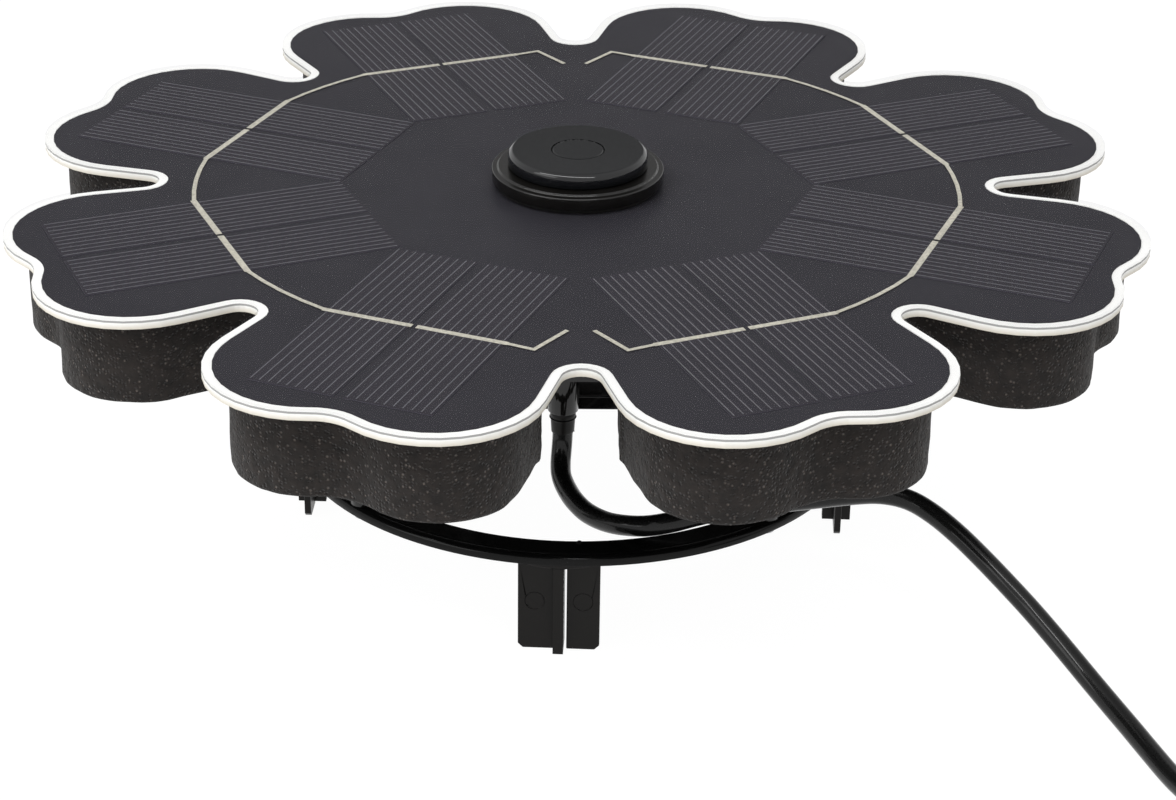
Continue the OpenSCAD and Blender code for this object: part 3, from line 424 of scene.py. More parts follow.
def print_material(name, rgb, rough, metallic):
    """Silver paste or tinned ribbon under the sheet, a little uneven in tone."""
    tree, shader, place = new_material(name)
    fine = wear(tree, "Moulded grain", place, Size=0.9 * MM)
    feed(tree, shader, {
        "Base Color": blend(tree, fine["Fine"], rgb, toned(rgb, 0.72)),
        "Roughness": spread(tree, fine["Fine"], 0.0, 1.0, rough, rough + 0.1),
        "Metallic": metallic,
        "Specular IOR Level": 0.1,
        "Normal": raised(tree, fine["Height"], 30 * MICRON)})


def sheet_material():
    """Clear sheet: hardly there on its face, and a little more at its cut edges."""
    tree, shader, place = new_material("clear_sheet")
    fine = wear(tree, "Moulded grain", place, Size=1.2 * MM)
    side = minus(tree, 1.0, upward(tree))
    hazy = spread(tree, fine["Drift"], 0.0, 1.0, 0.03, 0.05)
    feed(tree, shader, {
        "Base Color": blend(tree, fine["Drift"], linear(78, 78, 82), linear(70, 70, 74)),
        "Alpha": maths(tree, "ADD", times(tree, side, 0.05), hazy),
        "Roughness": 0.5,
        "Specular IOR Level": 0.02})


def foam_material(name, rgb, speck, pore, depth):
    """Foam with open pores and light specks, dull all over."""
    tree, shader, place = new_material(name)
    pores = wear(tree, "Foam pores", place, Size=pore)
    slow = spread(tree, noise_at(tree, place, 60.0, 3.0), 0.3, 0.7)
    base = blend(tree, pores["Tone"], toned(rgb, 0.35), toned(rgb, 1.6))
    base = blend(tree, times(tree, slow, 0.35), base, toned(rgb, 1.4))
    feed(tree, shader, {
        "Base Color": blend(tree, pores["Light speck"], base, speck),
        "Roughness": spread(tree, pores["Tone"], 0.0, 1.0, 0.82, 0.95),
        "Specular IOR Level": 0.25,
        "Sheen Weight": 0.12,
        "Normal": raised(tree, pores["Height"], depth)})


def strap_material(rgb):
    """Woven strap on its own map."""
    tree, shader, _ = new_material("woven_strap")
    cloth = wear(tree, "Plain weave", put(tree, "ShaderNodeUVMap", uv_map="strap").outputs[0])
    feed(tree, shader, {
        "Base Color": blend(tree, cloth["Yarn"], toned(rgb, 0.55), toned(rgb, 1.5)),
        "Roughness": spread(tree, cloth["Yarn"], 0.0, 1.0, 0.9, 0.65),
        "Sheen Weight": 0.2,
        "Normal": raised(tree, cloth["Height"], 200 * MICRON)})


# The pieces of the frame that each finish goes on
WEARS = {
    "board_laminate": ["panel_board"],
    "black_film": ["panel_film"],
    "silicon_cell": ["solar_cells"],
    "tinned_ribbon": ["busbar_ribbons"],
    "clear_sheet": ["cover_sheet"],
    "gloss_black": ["outlet_cap", "outlet_plug"],
    "satin_black": [
        "hub_flange", "clamp_nut", "strainer_box", "strainer_lid", "stand_frame", "junction_block"],
    "leg_black": ["foot_front", "foot_right", "foot_back", "foot_left"],
    "ring_black": ["stand_ring"],
    "gland_black": ["cable_gland"],
    "lead_jacket": ["panel_lead", "inner_lead", "plug_body", "plug_insulator"],
    "seal_rubber": ["hub_gasket", "cap_seal", "lead_grommet", "volute_seal", "outlet_seal"],
    "motor_moulding": ["motor_case", "motor_end_cap", "volute_cover"],
    "stator_steel": ["stator_core"],
    "copper_wire": ["stator_coils"],
    "green_board": ["circuit_board"],
    "polished_steel": ["pump_shaft"],
    "screw_steel": ["cover_screws", "pump_screws", "ring_screws"],
    "ferrite": ["rotor_magnet"],
    "white_moulding": ["impeller", "rotor_bush"],
    "plated_brass": ["plug_sleeve"],
}


# Rounding of the moulded edges, in millimetres
ROUNDED = {
    "outlet_cap": 0.3, "outlet_plug": 0.06, "hub_flange": 0.35, "strainer_box": 0.3, "strainer_lid": 0.3,
    "stand_ring": 0.2, "stand_frame": 0.3, "foot_front": 0.2, "foot_right": 0.2, "foot_back": 0.2,
    "foot_left": 0.2, "cable_gland": 0.3, "plug_body": 0.25, "clamp_nut": 0.25,
}
BEVEL_PARTS, SHARP, SAME_POINT = 3, 40, 0.002
SHEET_DRAWN_IN = 0.02


def join_corners(carried):
    """Joins the faces of a carried piece where they meet, without touching its mesh."""
    weld = carried.modifiers.new("Join corners", "WELD")
    weld.merge_threshold = SAME_POINT * MM


def soften(carried, width):
    """Rounds a piece's sharp edges without touching its mesh."""
    join_corners(carried)
    bevel = carried.modifiers.new("Round edges", "BEVEL")
    bevel.width = width * MM
    bevel.segments = BEVEL_PARTS
    bevel.limit_method = "ANGLE"
    bevel.angle_limit = math.radians(SHARP)
    bevel.use_clamp_overlap = False
    bevel.harden_normals = True


def draw_in(carried, depth):
    """Draws a piece in by a hair, so that its faces don't lie in the faces under it."""
    join_corners(carried)
    hair = carried.modifiers.new("Draw in", "DISPLACE")
    hair.direction = "NORMAL"
    hair.mid_level = 0.0
    hair.strength = -depth * MM


class FOUNTAIN_OT_finishes(bpy.types.Operator):
    """Makes every finish and puts it on the pieces that the frame brings"""
    bl_idname = "fountain.finishes"
    bl_label = "Finish the frame's pieces"

    def execute(self, context):
        panel, mould = context.scene.fountain_panel, context.scene.fountain_moulding
        lead, foam = context.scene.fountain_lead, context.scene.fountain_foam
        for make in (grain_group, pores_group, handling_group, brushed_group, weave_group):
            make()
        board_material(panel)
        film_material(panel)
        cell_material(panel)
        print_material("printed_silver", panel.finger[:], 0.4, 0.0)
        print_material("tinned_ribbon", panel.ribbon[:], 0.38, 0.3)
        sheet_material()
        foam_material("float_foam", foam.foam[:], foam.speck[:], foam.pore, 600 * MICRON)
        foam_material("filter_sponge", foam.sponge[:], foam.speck[:], 1.6 * foam.pore, 800 * MICRON)
        strap_material(lead.strap[:])
        grain = mould.texture
        # Name, colour, grain, its depth in microns, roughness, rubbed marks, specular level and polish
        for name, colour, size_of, depth, *others in (
            ("gloss_black", mould.gloss, 2 * grain, 1, (0.1, 0.15), 0.1, 0.02, 0.9),
            ("satin_black", mould.satin, grain, 10, (0.18, 0.26), 0.2, 0.03, 0.8),
            ("leg_black", mould.leg, 1.3 * grain, 20, (0.28, 0.38), 0.3, 0.2),
            ("ring_black", mould.ring, grain, 6, (0.16, 0.24), 0.2, 0.08, 0.15),
            ("gland_black", mould.satin, grain, 20, (0.3, 0.4), 0.2, 0.2),
            ("lead_jacket", lead.jacket, 1.5 * grain, 8, (0.26, 0.34), 0.25, 0.12, 0.35),
            ("seal_rubber", mould.satin, 2 * grain, 40, (0.6, 0.75), 0.3, 0.2),
            ("motor_moulding", mould.motor, grain, 30, (0.4, 0.5), 0.2, 0.4),
            ("green_board", linear(18, 84, 44), grain, 20, (0.25, 0.35), 0.2, 0.5),
            ("ferrite", linear(72, 72, 74), 2 * grain, 50, (0.5, 0.65), 0.3, 0.4),
            ("white_moulding", linear(225, 225, 221), grain, 20, (0.35, 0.45), 0.2, 0.5),
        ):
            moulded(name, tuple(colour), size_of, depth * MICRON, *others)
        metal("stator_steel", linear(126, 128, 132), 0.5 * MM, (0.4, 0.5))
        metal("copper_wire", linear(196, 118, 70), 0.3 * MM, (0.28, 0.38))
        metal("polished_steel", mould.steel[:], 0.3 * MM, (0.12, 0.2))
        metal("screw_steel", mould.steel[:], 0.4 * MM, (0.25, 0.35))
        metal("plated_brass", lead.plating[:], 0.4 * MM, (0.16, 0.24))
        for worn, nodes in WEARS.items():
            for name in nodes:
                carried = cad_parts[name]
                carried.data.materials.clear()
                carried.data.materials.append(finish(worn))
        for name, width in ROUNDED.items():
            soften(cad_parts[name], width)
        draw_in(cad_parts["cover_sheet"], SHEET_DRAWN_IN)
        return {"FINISHED"}


# Making meshes


def new_piece(name, mesh_or_curve):
    """A piece that rides on the float."""
    piece = bpy.data.objects.new(name, mesh_or_curve)
    bpy.context.scene.collection.objects.link(piece)
    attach(piece, "float")
    return piece


def mesh_from(name, build, worn):
    """A smooth mesh filled by build(bm), with outward normals and one finish."""
    bm = bmesh.new()
    build(bm)
    bmesh.ops.recalc_face_normals(bm, faces=bm.faces)
    mesh = bpy.data.meshes.new(name)
    bm.to_mesh(mesh)
    bm.free()
    mesh.materials.append(finish(worn))
    mesh.shade_smooth()
    return mesh


def loft(bm, rings):
    """Skins rings of as many points each, leaves both ends open and gives the rings' corners."""
    rows = [[bm.verts.new(p) for p in ring] for ring in rings]
    count = len(rows[0])
    for a, b in zip(rows, rows[1:]):
        for j in range(count):
            bm.faces.new((a[j], a[(j + 1) % count], b[(j + 1) % count], b[j]))
    return rows


def arc(centre, radius, start, end, steps):
    """Points on an arc, with both its ends."""
    return [centre + radius * Vector((math.cos(a), math.sin(a)))
            for a in (start + (end - start) * i / steps for i in range(steps + 1))]


# The flower's sizes in millimetres, as in the part's source
LOBE_REACH, LOBE_OFFSET, LOBE_R = 123.8, 15.7, 23.2
DIP_R, NOTCH_REACH, NOTCH_R, PETALS = 14.7, 115.7, 7.3, 8
TURN = 2 * math.pi / PETALS
# How far a petal's cells lie off its axis, by the front and back and at the sides
FRONT_SHIFT, SIDE_SHIFT = 2 * MM, 0.8 * MM


def flower(grow):
    """The panel's outline grown by grow, in millimetres, counter-clockwise from the +X side."""
    dip = Vector((0, LOBE_REACH + math.sqrt((LOBE_R + DIP_R) ** 2 - LOBE_OFFSET ** 2)))
    lobe = Vector((LOBE_OFFSET, LOBE_REACH))
    notch = NOTCH_REACH * Vector((math.sin(TURN / 2), math.cos(TURN / 2)))
    to_lobe, to_notch = lobe - dip, notch - lobe
    dip_end = math.atan2(to_lobe.y, to_lobe.x)
    lobe_end = math.atan2(to_notch.y, to_notch.x) + math.acos((LOBE_R + NOTCH_R) / to_notch.length)
    half = (arc(dip, DIP_R - grow, -math.pi / 2, dip_end, 6)
            + arc(lobe, LOBE_R + grow, dip_end + math.pi, lobe_end, 26)
            + arc(notch, NOTCH_R - grow, lobe_end + math.pi, 1.5 * math.pi - TURN / 2, 10))
    petal = half[::-1] + [Vector((-p.x, p.y)) for p in half[1:-1]]
    return [Matrix.Rotation((k + 0.5) * TURN, 2) @ p for k in range(PETALS) for p in petal]


def resampled(loop, gap):
    """The closed loop with points at most gap apart, and none closer than a tenth of it."""
    out = []
    for i, p in enumerate(loop):
        q = loop[(i + 1) % len(loop)]
        span = (q - p).length
        if span < gap / 10:
            continue
        parts = max(1, math.ceil(span / gap))
        out += [p.lerp(q, j / parts) for j in range(parts)]
    return out


# Foam


CHANNEL_HALF, HOLE_HALF, FOAM_INSET, FOAM_GAP, FOAM_ROWS = 9.0, 28.0, 3.3, 2.4, 6
# How often the cut wanders, by long and short waves, and how its lower edge sags
LONG_WAVE, SHORT_WAVE, SAG_WAVE, SAG, SAG_LEVEL = 0.21, 0.7, 0.09, 0.55, 7.0
SPONGE_CUTS, SPONGE_SHRINK, SPONGE_WAVE = 17, 0.02, 0.8


def wave(p, z, rate):
    return noise.noise(Vector((p.x, p.y, z)) * rate)


def foam_outline():
    """The float seen from above: a flower with a slot from the front notch to the square hole."""
    outer = [p for p in flower(-FOAM_INSET) if not (abs(p.x) < CHANNEL_HALF and p.y < -HOLE_HALF)]
    turns = [(math.atan2(p.y, p.x) + math.pi / 2) % (2 * math.pi) for p in outer]
    first = turns.index(min(turns))
    outer = outer[first:] + outer[:first]
    mouth = -NOTCH_REACH + math.sqrt((NOTCH_R + FOAM_INSET) ** 2 - CHANNEL_HALF ** 2)
    c, h = CHANNEL_HALF, HOLE_HALF
    inner = [(-c, mouth), (-c, -h), (-h, -h), (-h, h), (h, h), (h, -h), (c, -h), (c, mouth)]
    return resampled([*outer, *(Vector(p) for p in inner)], FOAM_GAP)


class FOUNTAIN_OT_foam(bpy.types.Operator):
    """Makes the foam float and the filter sponge, with cut edges that wander a little"""
    bl_idname = "fountain.foam"
    bl_label = "Make the foam"

    def execute(self, context):
        look = context.scene.fountain_foam
        low, high = (c.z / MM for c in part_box("foam_float"))
        soft, wander = look.soft_edge / MM, look.waviness / MM
        loop = foam_outline()
        count = len(loop)
        normals = []
        for i, p in enumerate(loop):
            way = loop[(i + 1) % count] - loop[i - 1]
            normals.append(Vector((way.y, -way.x)).normalized())
        # Each row: how far in from the cut side, and its height
        rows = [(soft, low), (0.3 * soft, low + 0.3 * soft), (0, low + soft)]
        rows += [(0, low + soft + (high - low - 2 * soft) * k / FOAM_ROWS) for k in range(1, FOAM_ROWS)]
        rows += [(0, high - soft), (0.3 * soft, high - 0.3 * soft), (soft, high)]

        def build(bm):
            rings = []
            for depth, z in rows:
                ring = []
                for p, n in zip(loop, normals):
                    rough = wave(p, z, LONG_WAVE) + 0.5 * wave(p, z, SHORT_WAVE)
                    out = p - n * (depth + wander * (0.7 + rough))
                    drop = SAG * max(0.0, wave(p, SAG_LEVEL, SAG_WAVE)) if z < low + soft else 0.0
                    ring.append(Vector((out.x, out.y, z + drop)) * MM)
                rings.append(ring)
            for row in loft(bm, rings)[::len(rings) - 1]:
                for corners in tessellate_polygon([[v.co for v in row]]):
                    bm.faces.new([row[i] for i in corners])

        foam = new_piece("foam_flower", mesh_from("foam_flower", build, "float_foam"))
        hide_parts("foam_float")

        corner, far = (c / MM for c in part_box("filter_sponge"))
        middle, half = (corner + far) / 2, (far - corner) / 2

        def build_block(bm):
            bmesh.ops.create_cube(bm, size=2.0)
            bmesh.ops.subdivide_edges(bm, edges=bm.edges, cuts=SPONGE_CUTS, use_grid_fill=True)
            for v in bm.verts:
                p = Vector(v.co)
                edge = 1 - SPONGE_SHRINK * sum(abs(c) > 0.99 for c in p)
                place = Vector(middle[i] + p[i] * half[i] * edge for i in range(3))
                shrunk = 1 - SPONGE_SHRINK * (0.5 + 0.5 * noise.noise(place * SPONGE_WAVE))
                v.co = Vector(middle[i] + (place[i] - middle[i]) * shrunk for i in range(3)) * MM

        sponge = new_piece("sponge_block", mesh_from("sponge_block", build_block, "filter_sponge"))
        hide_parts("filter_sponge")
        return {"FINISHED"}


# Silver lines


def finger_tree():
    """Half cells of silver lines, set round the panel petal by petal."""
    tree = bpy.data.node_groups.new("Silver lines", "GeometryNodeTree")
    tree.interface.new_socket("Geometry", in_out="OUTPUT", socket_type="NodeSocketGeometry")
    for label, kind in (("Petals", "Int"), ("Fingers", "Int"), ("Pitch", "Float"), ("Half gap", "Float"),
                        ("Width", "Float"), ("Thickness", "Float"), ("Start", "Float"), ("End", "Float"),
                        ("Ribbon", "Float"), ("Ribbon width", "Float"), ("Front shift", "Float"),
                        ("Side shift", "Float"), ("Height", "Float"), ("Finish", "Material")):
        tree.interface.new_socket(label, in_out="INPUT", socket_type="NodeSocket" + kind)
    given = put(tree, "NodeGroupInput").outputs
    end = put(tree, "NodeGroupOutput")

    def vector(x=0.0, y=0.0, z=0.0):
        return put(tree, "ShaderNodeCombineXYZ", {0: x, 1: y, 2: z}).outputs[0]

    def half(value):
        return times(tree, value, 0.5)

    half_ribbon = half(given["Ribbon width"])
    spans = ((given["Start"], minus(tree, given["Ribbon"], half_ribbon)),
             (maths(tree, "ADD", given["Ribbon"], half_ribbon), given["End"]))
    join = put(tree, "GeometryNodeJoinGeometry")
    for side in (-1.0, 1.0):
        line = put(tree, "GeometryNodeMeshLine", {
            "Count": given["Fingers"],
            "Start Location": vector(times(tree, half(given["Half gap"]), side)),
            "Offset": vector(times(tree, given["Pitch"], side))})
        for low, high in spans:
            bar = put(tree, "GeometryNodeMeshCube", {
                "Size": vector(given["Width"], minus(tree, high, low), given["Thickness"])})
            moved = put(tree, "GeometryNodeTransform", {
                "Geometry": bar.outputs["Mesh"],
                "Translation": vector(0.0, half(maths(tree, "ADD", high, low)), given["Height"])})
            copies = put(tree, "GeometryNodeInstanceOnPoints", {
                "Points": line.outputs["Mesh"], "Instance": moved.outputs[0]})
            tree.links.new(copies.outputs[0], join.inputs[0])
    # Petals by the front and back lie further off their axes than those at the sides
    index = put(tree, "GeometryNodeInputIndex").outputs[0]
    place = maths(tree, "MODULO", index, 4.0)
    before = maths(tree, "LESS_THAN", place, 1.5)
    sign = minus(tree, 1.0, times(tree, before, 2.0))
    inner = maths(tree, "LESS_THAN", maths(tree, "ABSOLUTE", minus(tree, place, 1.5)), 1.0)
    shift = maths(tree, "ADD", times(tree, given["Side shift"], inner),
                  times(tree, given["Front shift"], minus(tree, 1.0, inner)))
    shift = times(tree, shift, sign)
    turn = maths(tree, "DIVIDE", 2 * math.pi, given["Petals"])
    angle = times(tree, maths(tree, "ADD", index, 0.5), turn)
    centres = put(tree, "GeometryNodeMeshLine", {"Count": given["Petals"], "Offset": (0.0, 0.0, 0.0)})
    shifted = put(tree, "GeometryNodeSetPosition", {
        "Geometry": centres.outputs["Mesh"],
        "Position": vector(times(tree, shift, maths(tree, "COSINE", angle)),
                           times(tree, shift, maths(tree, "SINE", angle)))})
    petals = put(tree, "GeometryNodeInstanceOnPoints", {
        "Points": shifted.outputs[0], "Instance": join.outputs[0], "Rotation": vector(0.0, 0.0, angle)})
    real = put(tree, "GeometryNodeRealizeInstances", {0: petals.outputs[0]})
    painted = put(tree, "GeometryNodeSetMaterial", {"Geometry": real.outputs[0], "Material": given["Finish"]})
    tree.links.new(painted.outputs[0], end.inputs[0])
    return tree


def grown(name, tree, values):
    """Runs a geometry tree with named input values and keeps its result as a plain mesh."""
    host = bpy.data.objects.new(name + "_host", bpy.data.meshes.new(name + "_host"))
    bpy.context.scene.collection.objects.link(host)
    modifier = host.modifiers.new("Build", "NODES")
    modifier.node_group = tree
    for item in tree.interface.items_tree:
        if item.item_type == "SOCKET" and item.in_out == "INPUT" and item.name in values:
            modifier[item.identifier] = values[item.name]
    host.update_tag()
    evaluated = host.evaluated_get(bpy.context.evaluated_depsgraph_get())
    mesh = bpy.data.meshes.new_from_object(evaluated)
    host.modifiers.remove(modifier)
    bpy.data.objects.remove(host)
    mesh.name = name
    return new_piece(name, mesh)


class FOUNTAIN_OT_lines(bpy.types.Operator):
    """Prints the silver lines on the cells with Geometry Nodes"""
    bl_idname = "fountain.lines"
    bl_label = "Print the silver lines"

    def execute(self, context):
        look = context.scene.fountain_panel
        low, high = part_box("cell_fingers")
        lines = grown("silver_lines", finger_tree(), {
            "Petals": PETALS, "Fingers": look.fingers, "Pitch": look.finger_pitch, "Half gap": look.half_gap,
            "Width": look.finger_width, "Thickness": high.z - low.z, "Start": look.cell_start,
            "End": look.cell_end, "Ribbon": look.bus_reach, "Ribbon width": look.bus_width,
            "Front shift": FRONT_SHIFT, "Side shift": SIDE_SHIFT, "Height": (low.z + high.z) / 2,
            "Finish": finish("printed_silver")})
        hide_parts("cell_fingers")
        return {"FINISHED"}


# Lead


# The lead's own points and its coil's and strap's sizes in millimetres, as in the part's source
LEAD_POINTS = [
    (-3.5, -31.6, 41), (-3.6, -31.9, 38.2), (-3.8, -32.9, 35.5), (-4, -34.7, 33.1), (-3.9, -37.3, 31.3),
    (-3.3, -40, 30.2), (-1.9, -44, 29.2), (0, -48.6, 28.7), (3, -53.7, 28.4), (7.4, -59.3, 29.1),
    (12, -63.9, 30.6), (17.6, -66.9, 32.1), (24, -67, 33.3), (31, -65.4, 34.5), (40, -63.8, 35.8),
    (50, -63, 36.8), (60, -61, 37), (70, -58.4, 36.8), (78.4, -56.8, 36.3), (85.4, -58.2, 35.4),
    (91.2, -62.5, 33.8), (97, -68.6, 31.3), (103, -74.6, 27.5), (108.6, -80.2, 23.5), (114, -85.6, 19.4),
    (118.6, -91.2, 15.9), (123, -97, 12.5), (127.2, -103.2, 9.4), (131.3, -110.2, 6.8), (135, -117.6, 4.9),
    (138.4, -126, 3.6), (141.9, -136, 3), (145.8, -147, 3.4),
]
COIL_X, COIL_Y, COIL_START, COIL_LOW = 189.0, -153.0, 202.0, 3.7
STRAP_T, STRAP_GAP, STRAP_ANGLE, STRAP_W, STRAP_TAB = 0.8, 0.2, 270.0, 10.0, 9.0
TAIL_LIFT, LIFT_BEFORE, LIFT_AFTER, CLIMB_SHARE = 7.9, 37.0, 36.0, 0.5
LINE_PARTS, TURN_PARTS, TAIL_PARTS = 6, 48, 16
# The strap's round corners, its gap from point to point, and the points of a corner and of its free end
STRAP_CORNER, STRAP_POINTS, CORNER_PARTS, TAB_PARTS = 1.6, 1.2, 8, 6
STRAP_SHARE, STRAP_EDGE, TAB_GAP, TAB_T, TAB_TOP = 0.9, 0.25, 0.03, 0.7, 1.2
YARNS_IN_ROW, YARNS_IN_MM = 2.0, 1.8


def climb(x):
    """An even rise from 0 to 1, with soft ends."""
    return 0.0 if x <= 0 else 1.0 if x >= 1 else (1 - math.cos(math.pi * x)) / 2


class Coil:
    """The coil's spiral, layer on layer, and the tail that leads to the plug."""

    def __init__(self, look):
        self.d, self.step = look.diameter / MM, look.step / MM
        self.layer_turns, self.layers = look.layer_turns, look.layers
        self.turns = self.layers * self.layer_turns
        self.span = self.layer_turns * self.step
        self.outer, self.inner = (look.coil_mid / MM + s * self.span / 2 for s in (1, -1))
        self.end_angle = math.radians(COIL_START + 360 * self.turns)
        self.tail_r = 4 * self.d
        self.sweep = (math.pi / 2 - self.end_angle) % (2 * math.pi)

    def radius(self, t):
        layer = math.floor(t / self.layer_turns)
        passed = (t / self.layer_turns - layer) * self.span
        return self.outer - passed if layer % 2 == 0 else self.inner + passed

    def rise(self, t):
        starts = (j * self.layer_turns for j in range(1, self.layers))
        return self.step * sum(climb((t - start) / CLIMB_SHARE + 0.5) for start in starts)

    def lift(self, s):
        return TAIL_LIFT * climb((s + LIFT_BEFORE) / (LIFT_BEFORE + LIFT_AFTER))

    def point(self, t):
        r, a = self.radius(t), math.radians(COIL_START + 360 * t)
        z = COIL_LOW + self.rise(t) + self.lift((t - self.turns) * 2 * math.pi * self.outer)
        return Vector((COIL_X + r * math.cos(a), COIL_Y + r * math.sin(a), z))

    def tail(self, b):
        a = self.end_angle
        c = Vector((math.cos(a), math.sin(a))) * (self.outer - self.tail_r)
        z = COIL_LOW + self.rise(self.turns) + self.lift(b * self.tail_r)
        x = COIL_X + c.x + self.tail_r * math.cos(a + b)
        y = COIL_Y + c.y + self.tail_r * math.sin(a + b)
        return Vector((x, y, z))


def smooth_line(points, parts):
    """A Catmull-Rom curve through the points."""
    p = [Vector(q) for q in points]
    p = [2 * p[0] - p[1], *p, 2 * p[-1] - p[-2]]
    out = []
    for a, b, c, d in zip(p, p[1:], p[2:], p[3:]):
        for k in range(parts):
            t = k / parts
            out.append((2 * b + (c - a) * t + (2 * a - 5 * b + 4 * c - d) * t * t
                        + (3 * b - 3 * c + d - a) * t ** 3) / 2)
    return [*out, p[-2]]


def lead_line(look):
    """Every point of the lead, from its exit to the plug, in millimetres."""
    coil = Coil(look)
    way = (coil.point(1 / (12 * TURN_PARTS)) - coil.point(0)).normalized()
    entry = coil.point(0) - coil.d * way
    wound = [coil.point(i / TURN_PARTS) for i in range(math.floor(coil.turns * TURN_PARTS - 0.5) + 1)]
    tail = [coil.tail(coil.sweep * i / TAIL_PARTS) for i in range(TAIL_PARTS + 1)]
    ahead = smooth_line([*LEAD_POINTS, entry], LINE_PARTS)
    return ahead + wound + tail + [tail[-1] - Vector((coil.d, 0, 0))]


def strap_reach(look):
    """The least and largest radius of the strap round the turns, and its height."""
    coil = Coil(look)
    first = (STRAP_ANGLE - COIL_START) / 360
    passes = [coil.radius(first + i) for i in range(math.floor(coil.turns - first) + 1)]
    far = max(passes) + coil.d / 2 + STRAP_GAP + coil.step * STRAP_W / (4 * math.pi * coil.outer)
    near = math.sqrt((min(passes) - coil.d / 2) ** 2 - (STRAP_W / 2) ** 2) - 2 * STRAP_GAP
    high = COIL_LOW + (coil.layers - 1) * coil.step + coil.d / 2 + STRAP_GAP
    return near, far, high


def strap_skin(bm, chart, rows, cross):
    """Skins a strap from row to row and lays the yarns of its map along it."""
    for i, (a, b) in enumerate(zip(rows, rows[1:])):
        for j in range(len(cross)):
            k = (j + 1) % len(cross)
            face = bm.faces.new((a[j], a[k], b[k], b[j]))
            for loop, u, v in zip(face.loops, (i, i, i + 1, i + 1), (j, k, k, j)):
                loop[chart].uv = (u * YARNS_IN_ROW, cross[v][1] * YARNS_IN_MM)


class FOUNTAIN_OT_lead(bpy.types.Operator):
    """Lays the lead, winds its coil and ties it with a woven strap"""
    bl_idname = "fountain.lead"
    bl_label = "Lay the lead"

    def execute(self, context):
        look = context.scene.fountain_lead
        line = lead_line(look)
        curve = bpy.data.curves.new("supply_cord", "CURVE")
        curve.dimensions = "3D"
        curve.bevel_depth = look.diameter / 2
        curve.bevel_resolution = 6
        curve.use_fill_caps = True
        curve.twist_mode = "MINIMUM"
        spline = curve.splines.new("POLY")
        spline.points.add(len(line) - 1)
        for point, spot in zip(spline.points, line):
            point.co = (*(spot * MM), 1.0)
        spline.use_smooth = True
        curve.materials.append(finish("lead_jacket"))
        cord = new_piece("supply_cord", curve)

        # The strap's path in the plane of radius and height, with round corners
        near, far, high = strap_reach(look)
        turn = Matrix.Rotation(math.radians(STRAP_ANGLE), 3, "Z")
        bends = (((near, STRAP_T), (-1, -1)), ((far, STRAP_T), (1, -1)),
                 ((far, high), (1, 1)), ((near, high), (-1, 1)))
        path = []
        for k, (p, way) in enumerate(bends):
            start = math.pi + k * math.pi / 2
            centre = Vector(p) + (STRAP_T - STRAP_CORNER) * Vector(way)
            path += arc(centre, STRAP_CORNER, start, start + math.pi / 2, CORNER_PARTS)
        outer_line, inner_line = resampled(path, STRAP_POINTS), []
        for i, p in enumerate(outer_line):
            way = (outer_line[(i + 1) % len(outer_line)] - outer_line[i - 1]).normalized()
            inner_line.append(p - STRAP_SHARE * STRAP_T * Vector((way.y, -way.x)))

        def place(p, y):
            spot = turn @ Vector((p.x, y, 0))
            return Vector((COIL_X + spot.x, COIL_Y + spot.y, p.y)) * MM

        def build(bm):
            chart = bm.loops.layers.uv.new("strap")
            # Across the strap: share of its thickness, and place in its width
            half, flat = STRAP_W / 2, STRAP_W / 2 - STRAP_EDGE
            cross = [(0.0, -flat), (0.0, flat), (0.3, half), (0.7, half),
                     (1.0, flat), (1.0, -flat), (0.7, -half), (0.3, -half)]
            rows = [[bm.verts.new(place(o.lerp(i, 1 - t), y)) for t, y in cross]
                    for o, i in zip(outer_line, inner_line)]
            strap_skin(bm, chart, [*rows, rows[0]], cross)
            # The free end lies over the outer side
            tab_low, tab_high = high + STRAP_T - STRAP_TAB, high + STRAP_T - TAB_TOP
            rise = (tab_high - tab_low) / TAB_PARTS
            bend = [Vector((far + STRAP_T + TAB_GAP, tab_low + rise * i)) for i in range(TAB_PARTS + 1)]
            tab = [[bm.verts.new(place(p + Vector((t * TAB_T, 0)), y)) for t, y in cross] for p in bend]
            strap_skin(bm, chart, tab, cross)
            bm.faces.new(tab[0])
            bm.faces.new(tab[-1])

        strap = new_piece("coil_strap", mesh_from("coil_strap", build, "woven_strap"))
        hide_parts("coil_tie")
        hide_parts("supply_lead", "lead_coil")
        return {"FINISHED"}


# Stage


# The camera's place in millimetres and its turns in degrees, as fitted to the photo
CAMERA_AT, CAMERA_PITCH, CAMERA_YAW, CAMERA_ROLL = (-8.998, -685.90, 381.54), 26.861, 1.0553, 0.854
LAMPS_AIM = (0.0, 0.0, 0.08)
FLOOR_REACH, FLOOR_WHITE = 4.0, 1.08


def lamp(name, energy, extent, place):
    """An oblong lamp that looks at the object."""
    data = bpy.data.lights.new(name, "AREA")
    data.energy, data.shape = energy, "RECTANGLE"
    data.size, data.size_y = extent
    made = bpy.data.objects.new(name, data)
    made.location = place
    made.rotation_euler = (Vector(LAMPS_AIM) - Vector(place)).to_track_quat("-Z", "Y").to_euler()
    bpy.context.scene.collection.objects.link(made)


def seen_plain(tree):
    """1 for rays from the camera, mirrors and clear pieces, and 0 for light."""
    path = put(tree, "ShaderNodeLightPath").outputs
    seen = maths(tree, "MAXIMUM", path["Is Camera Ray"], path["Is Glossy Ray"])
    return maths(tree, "MAXIMUM", seen, path["Is Transmission Ray"])


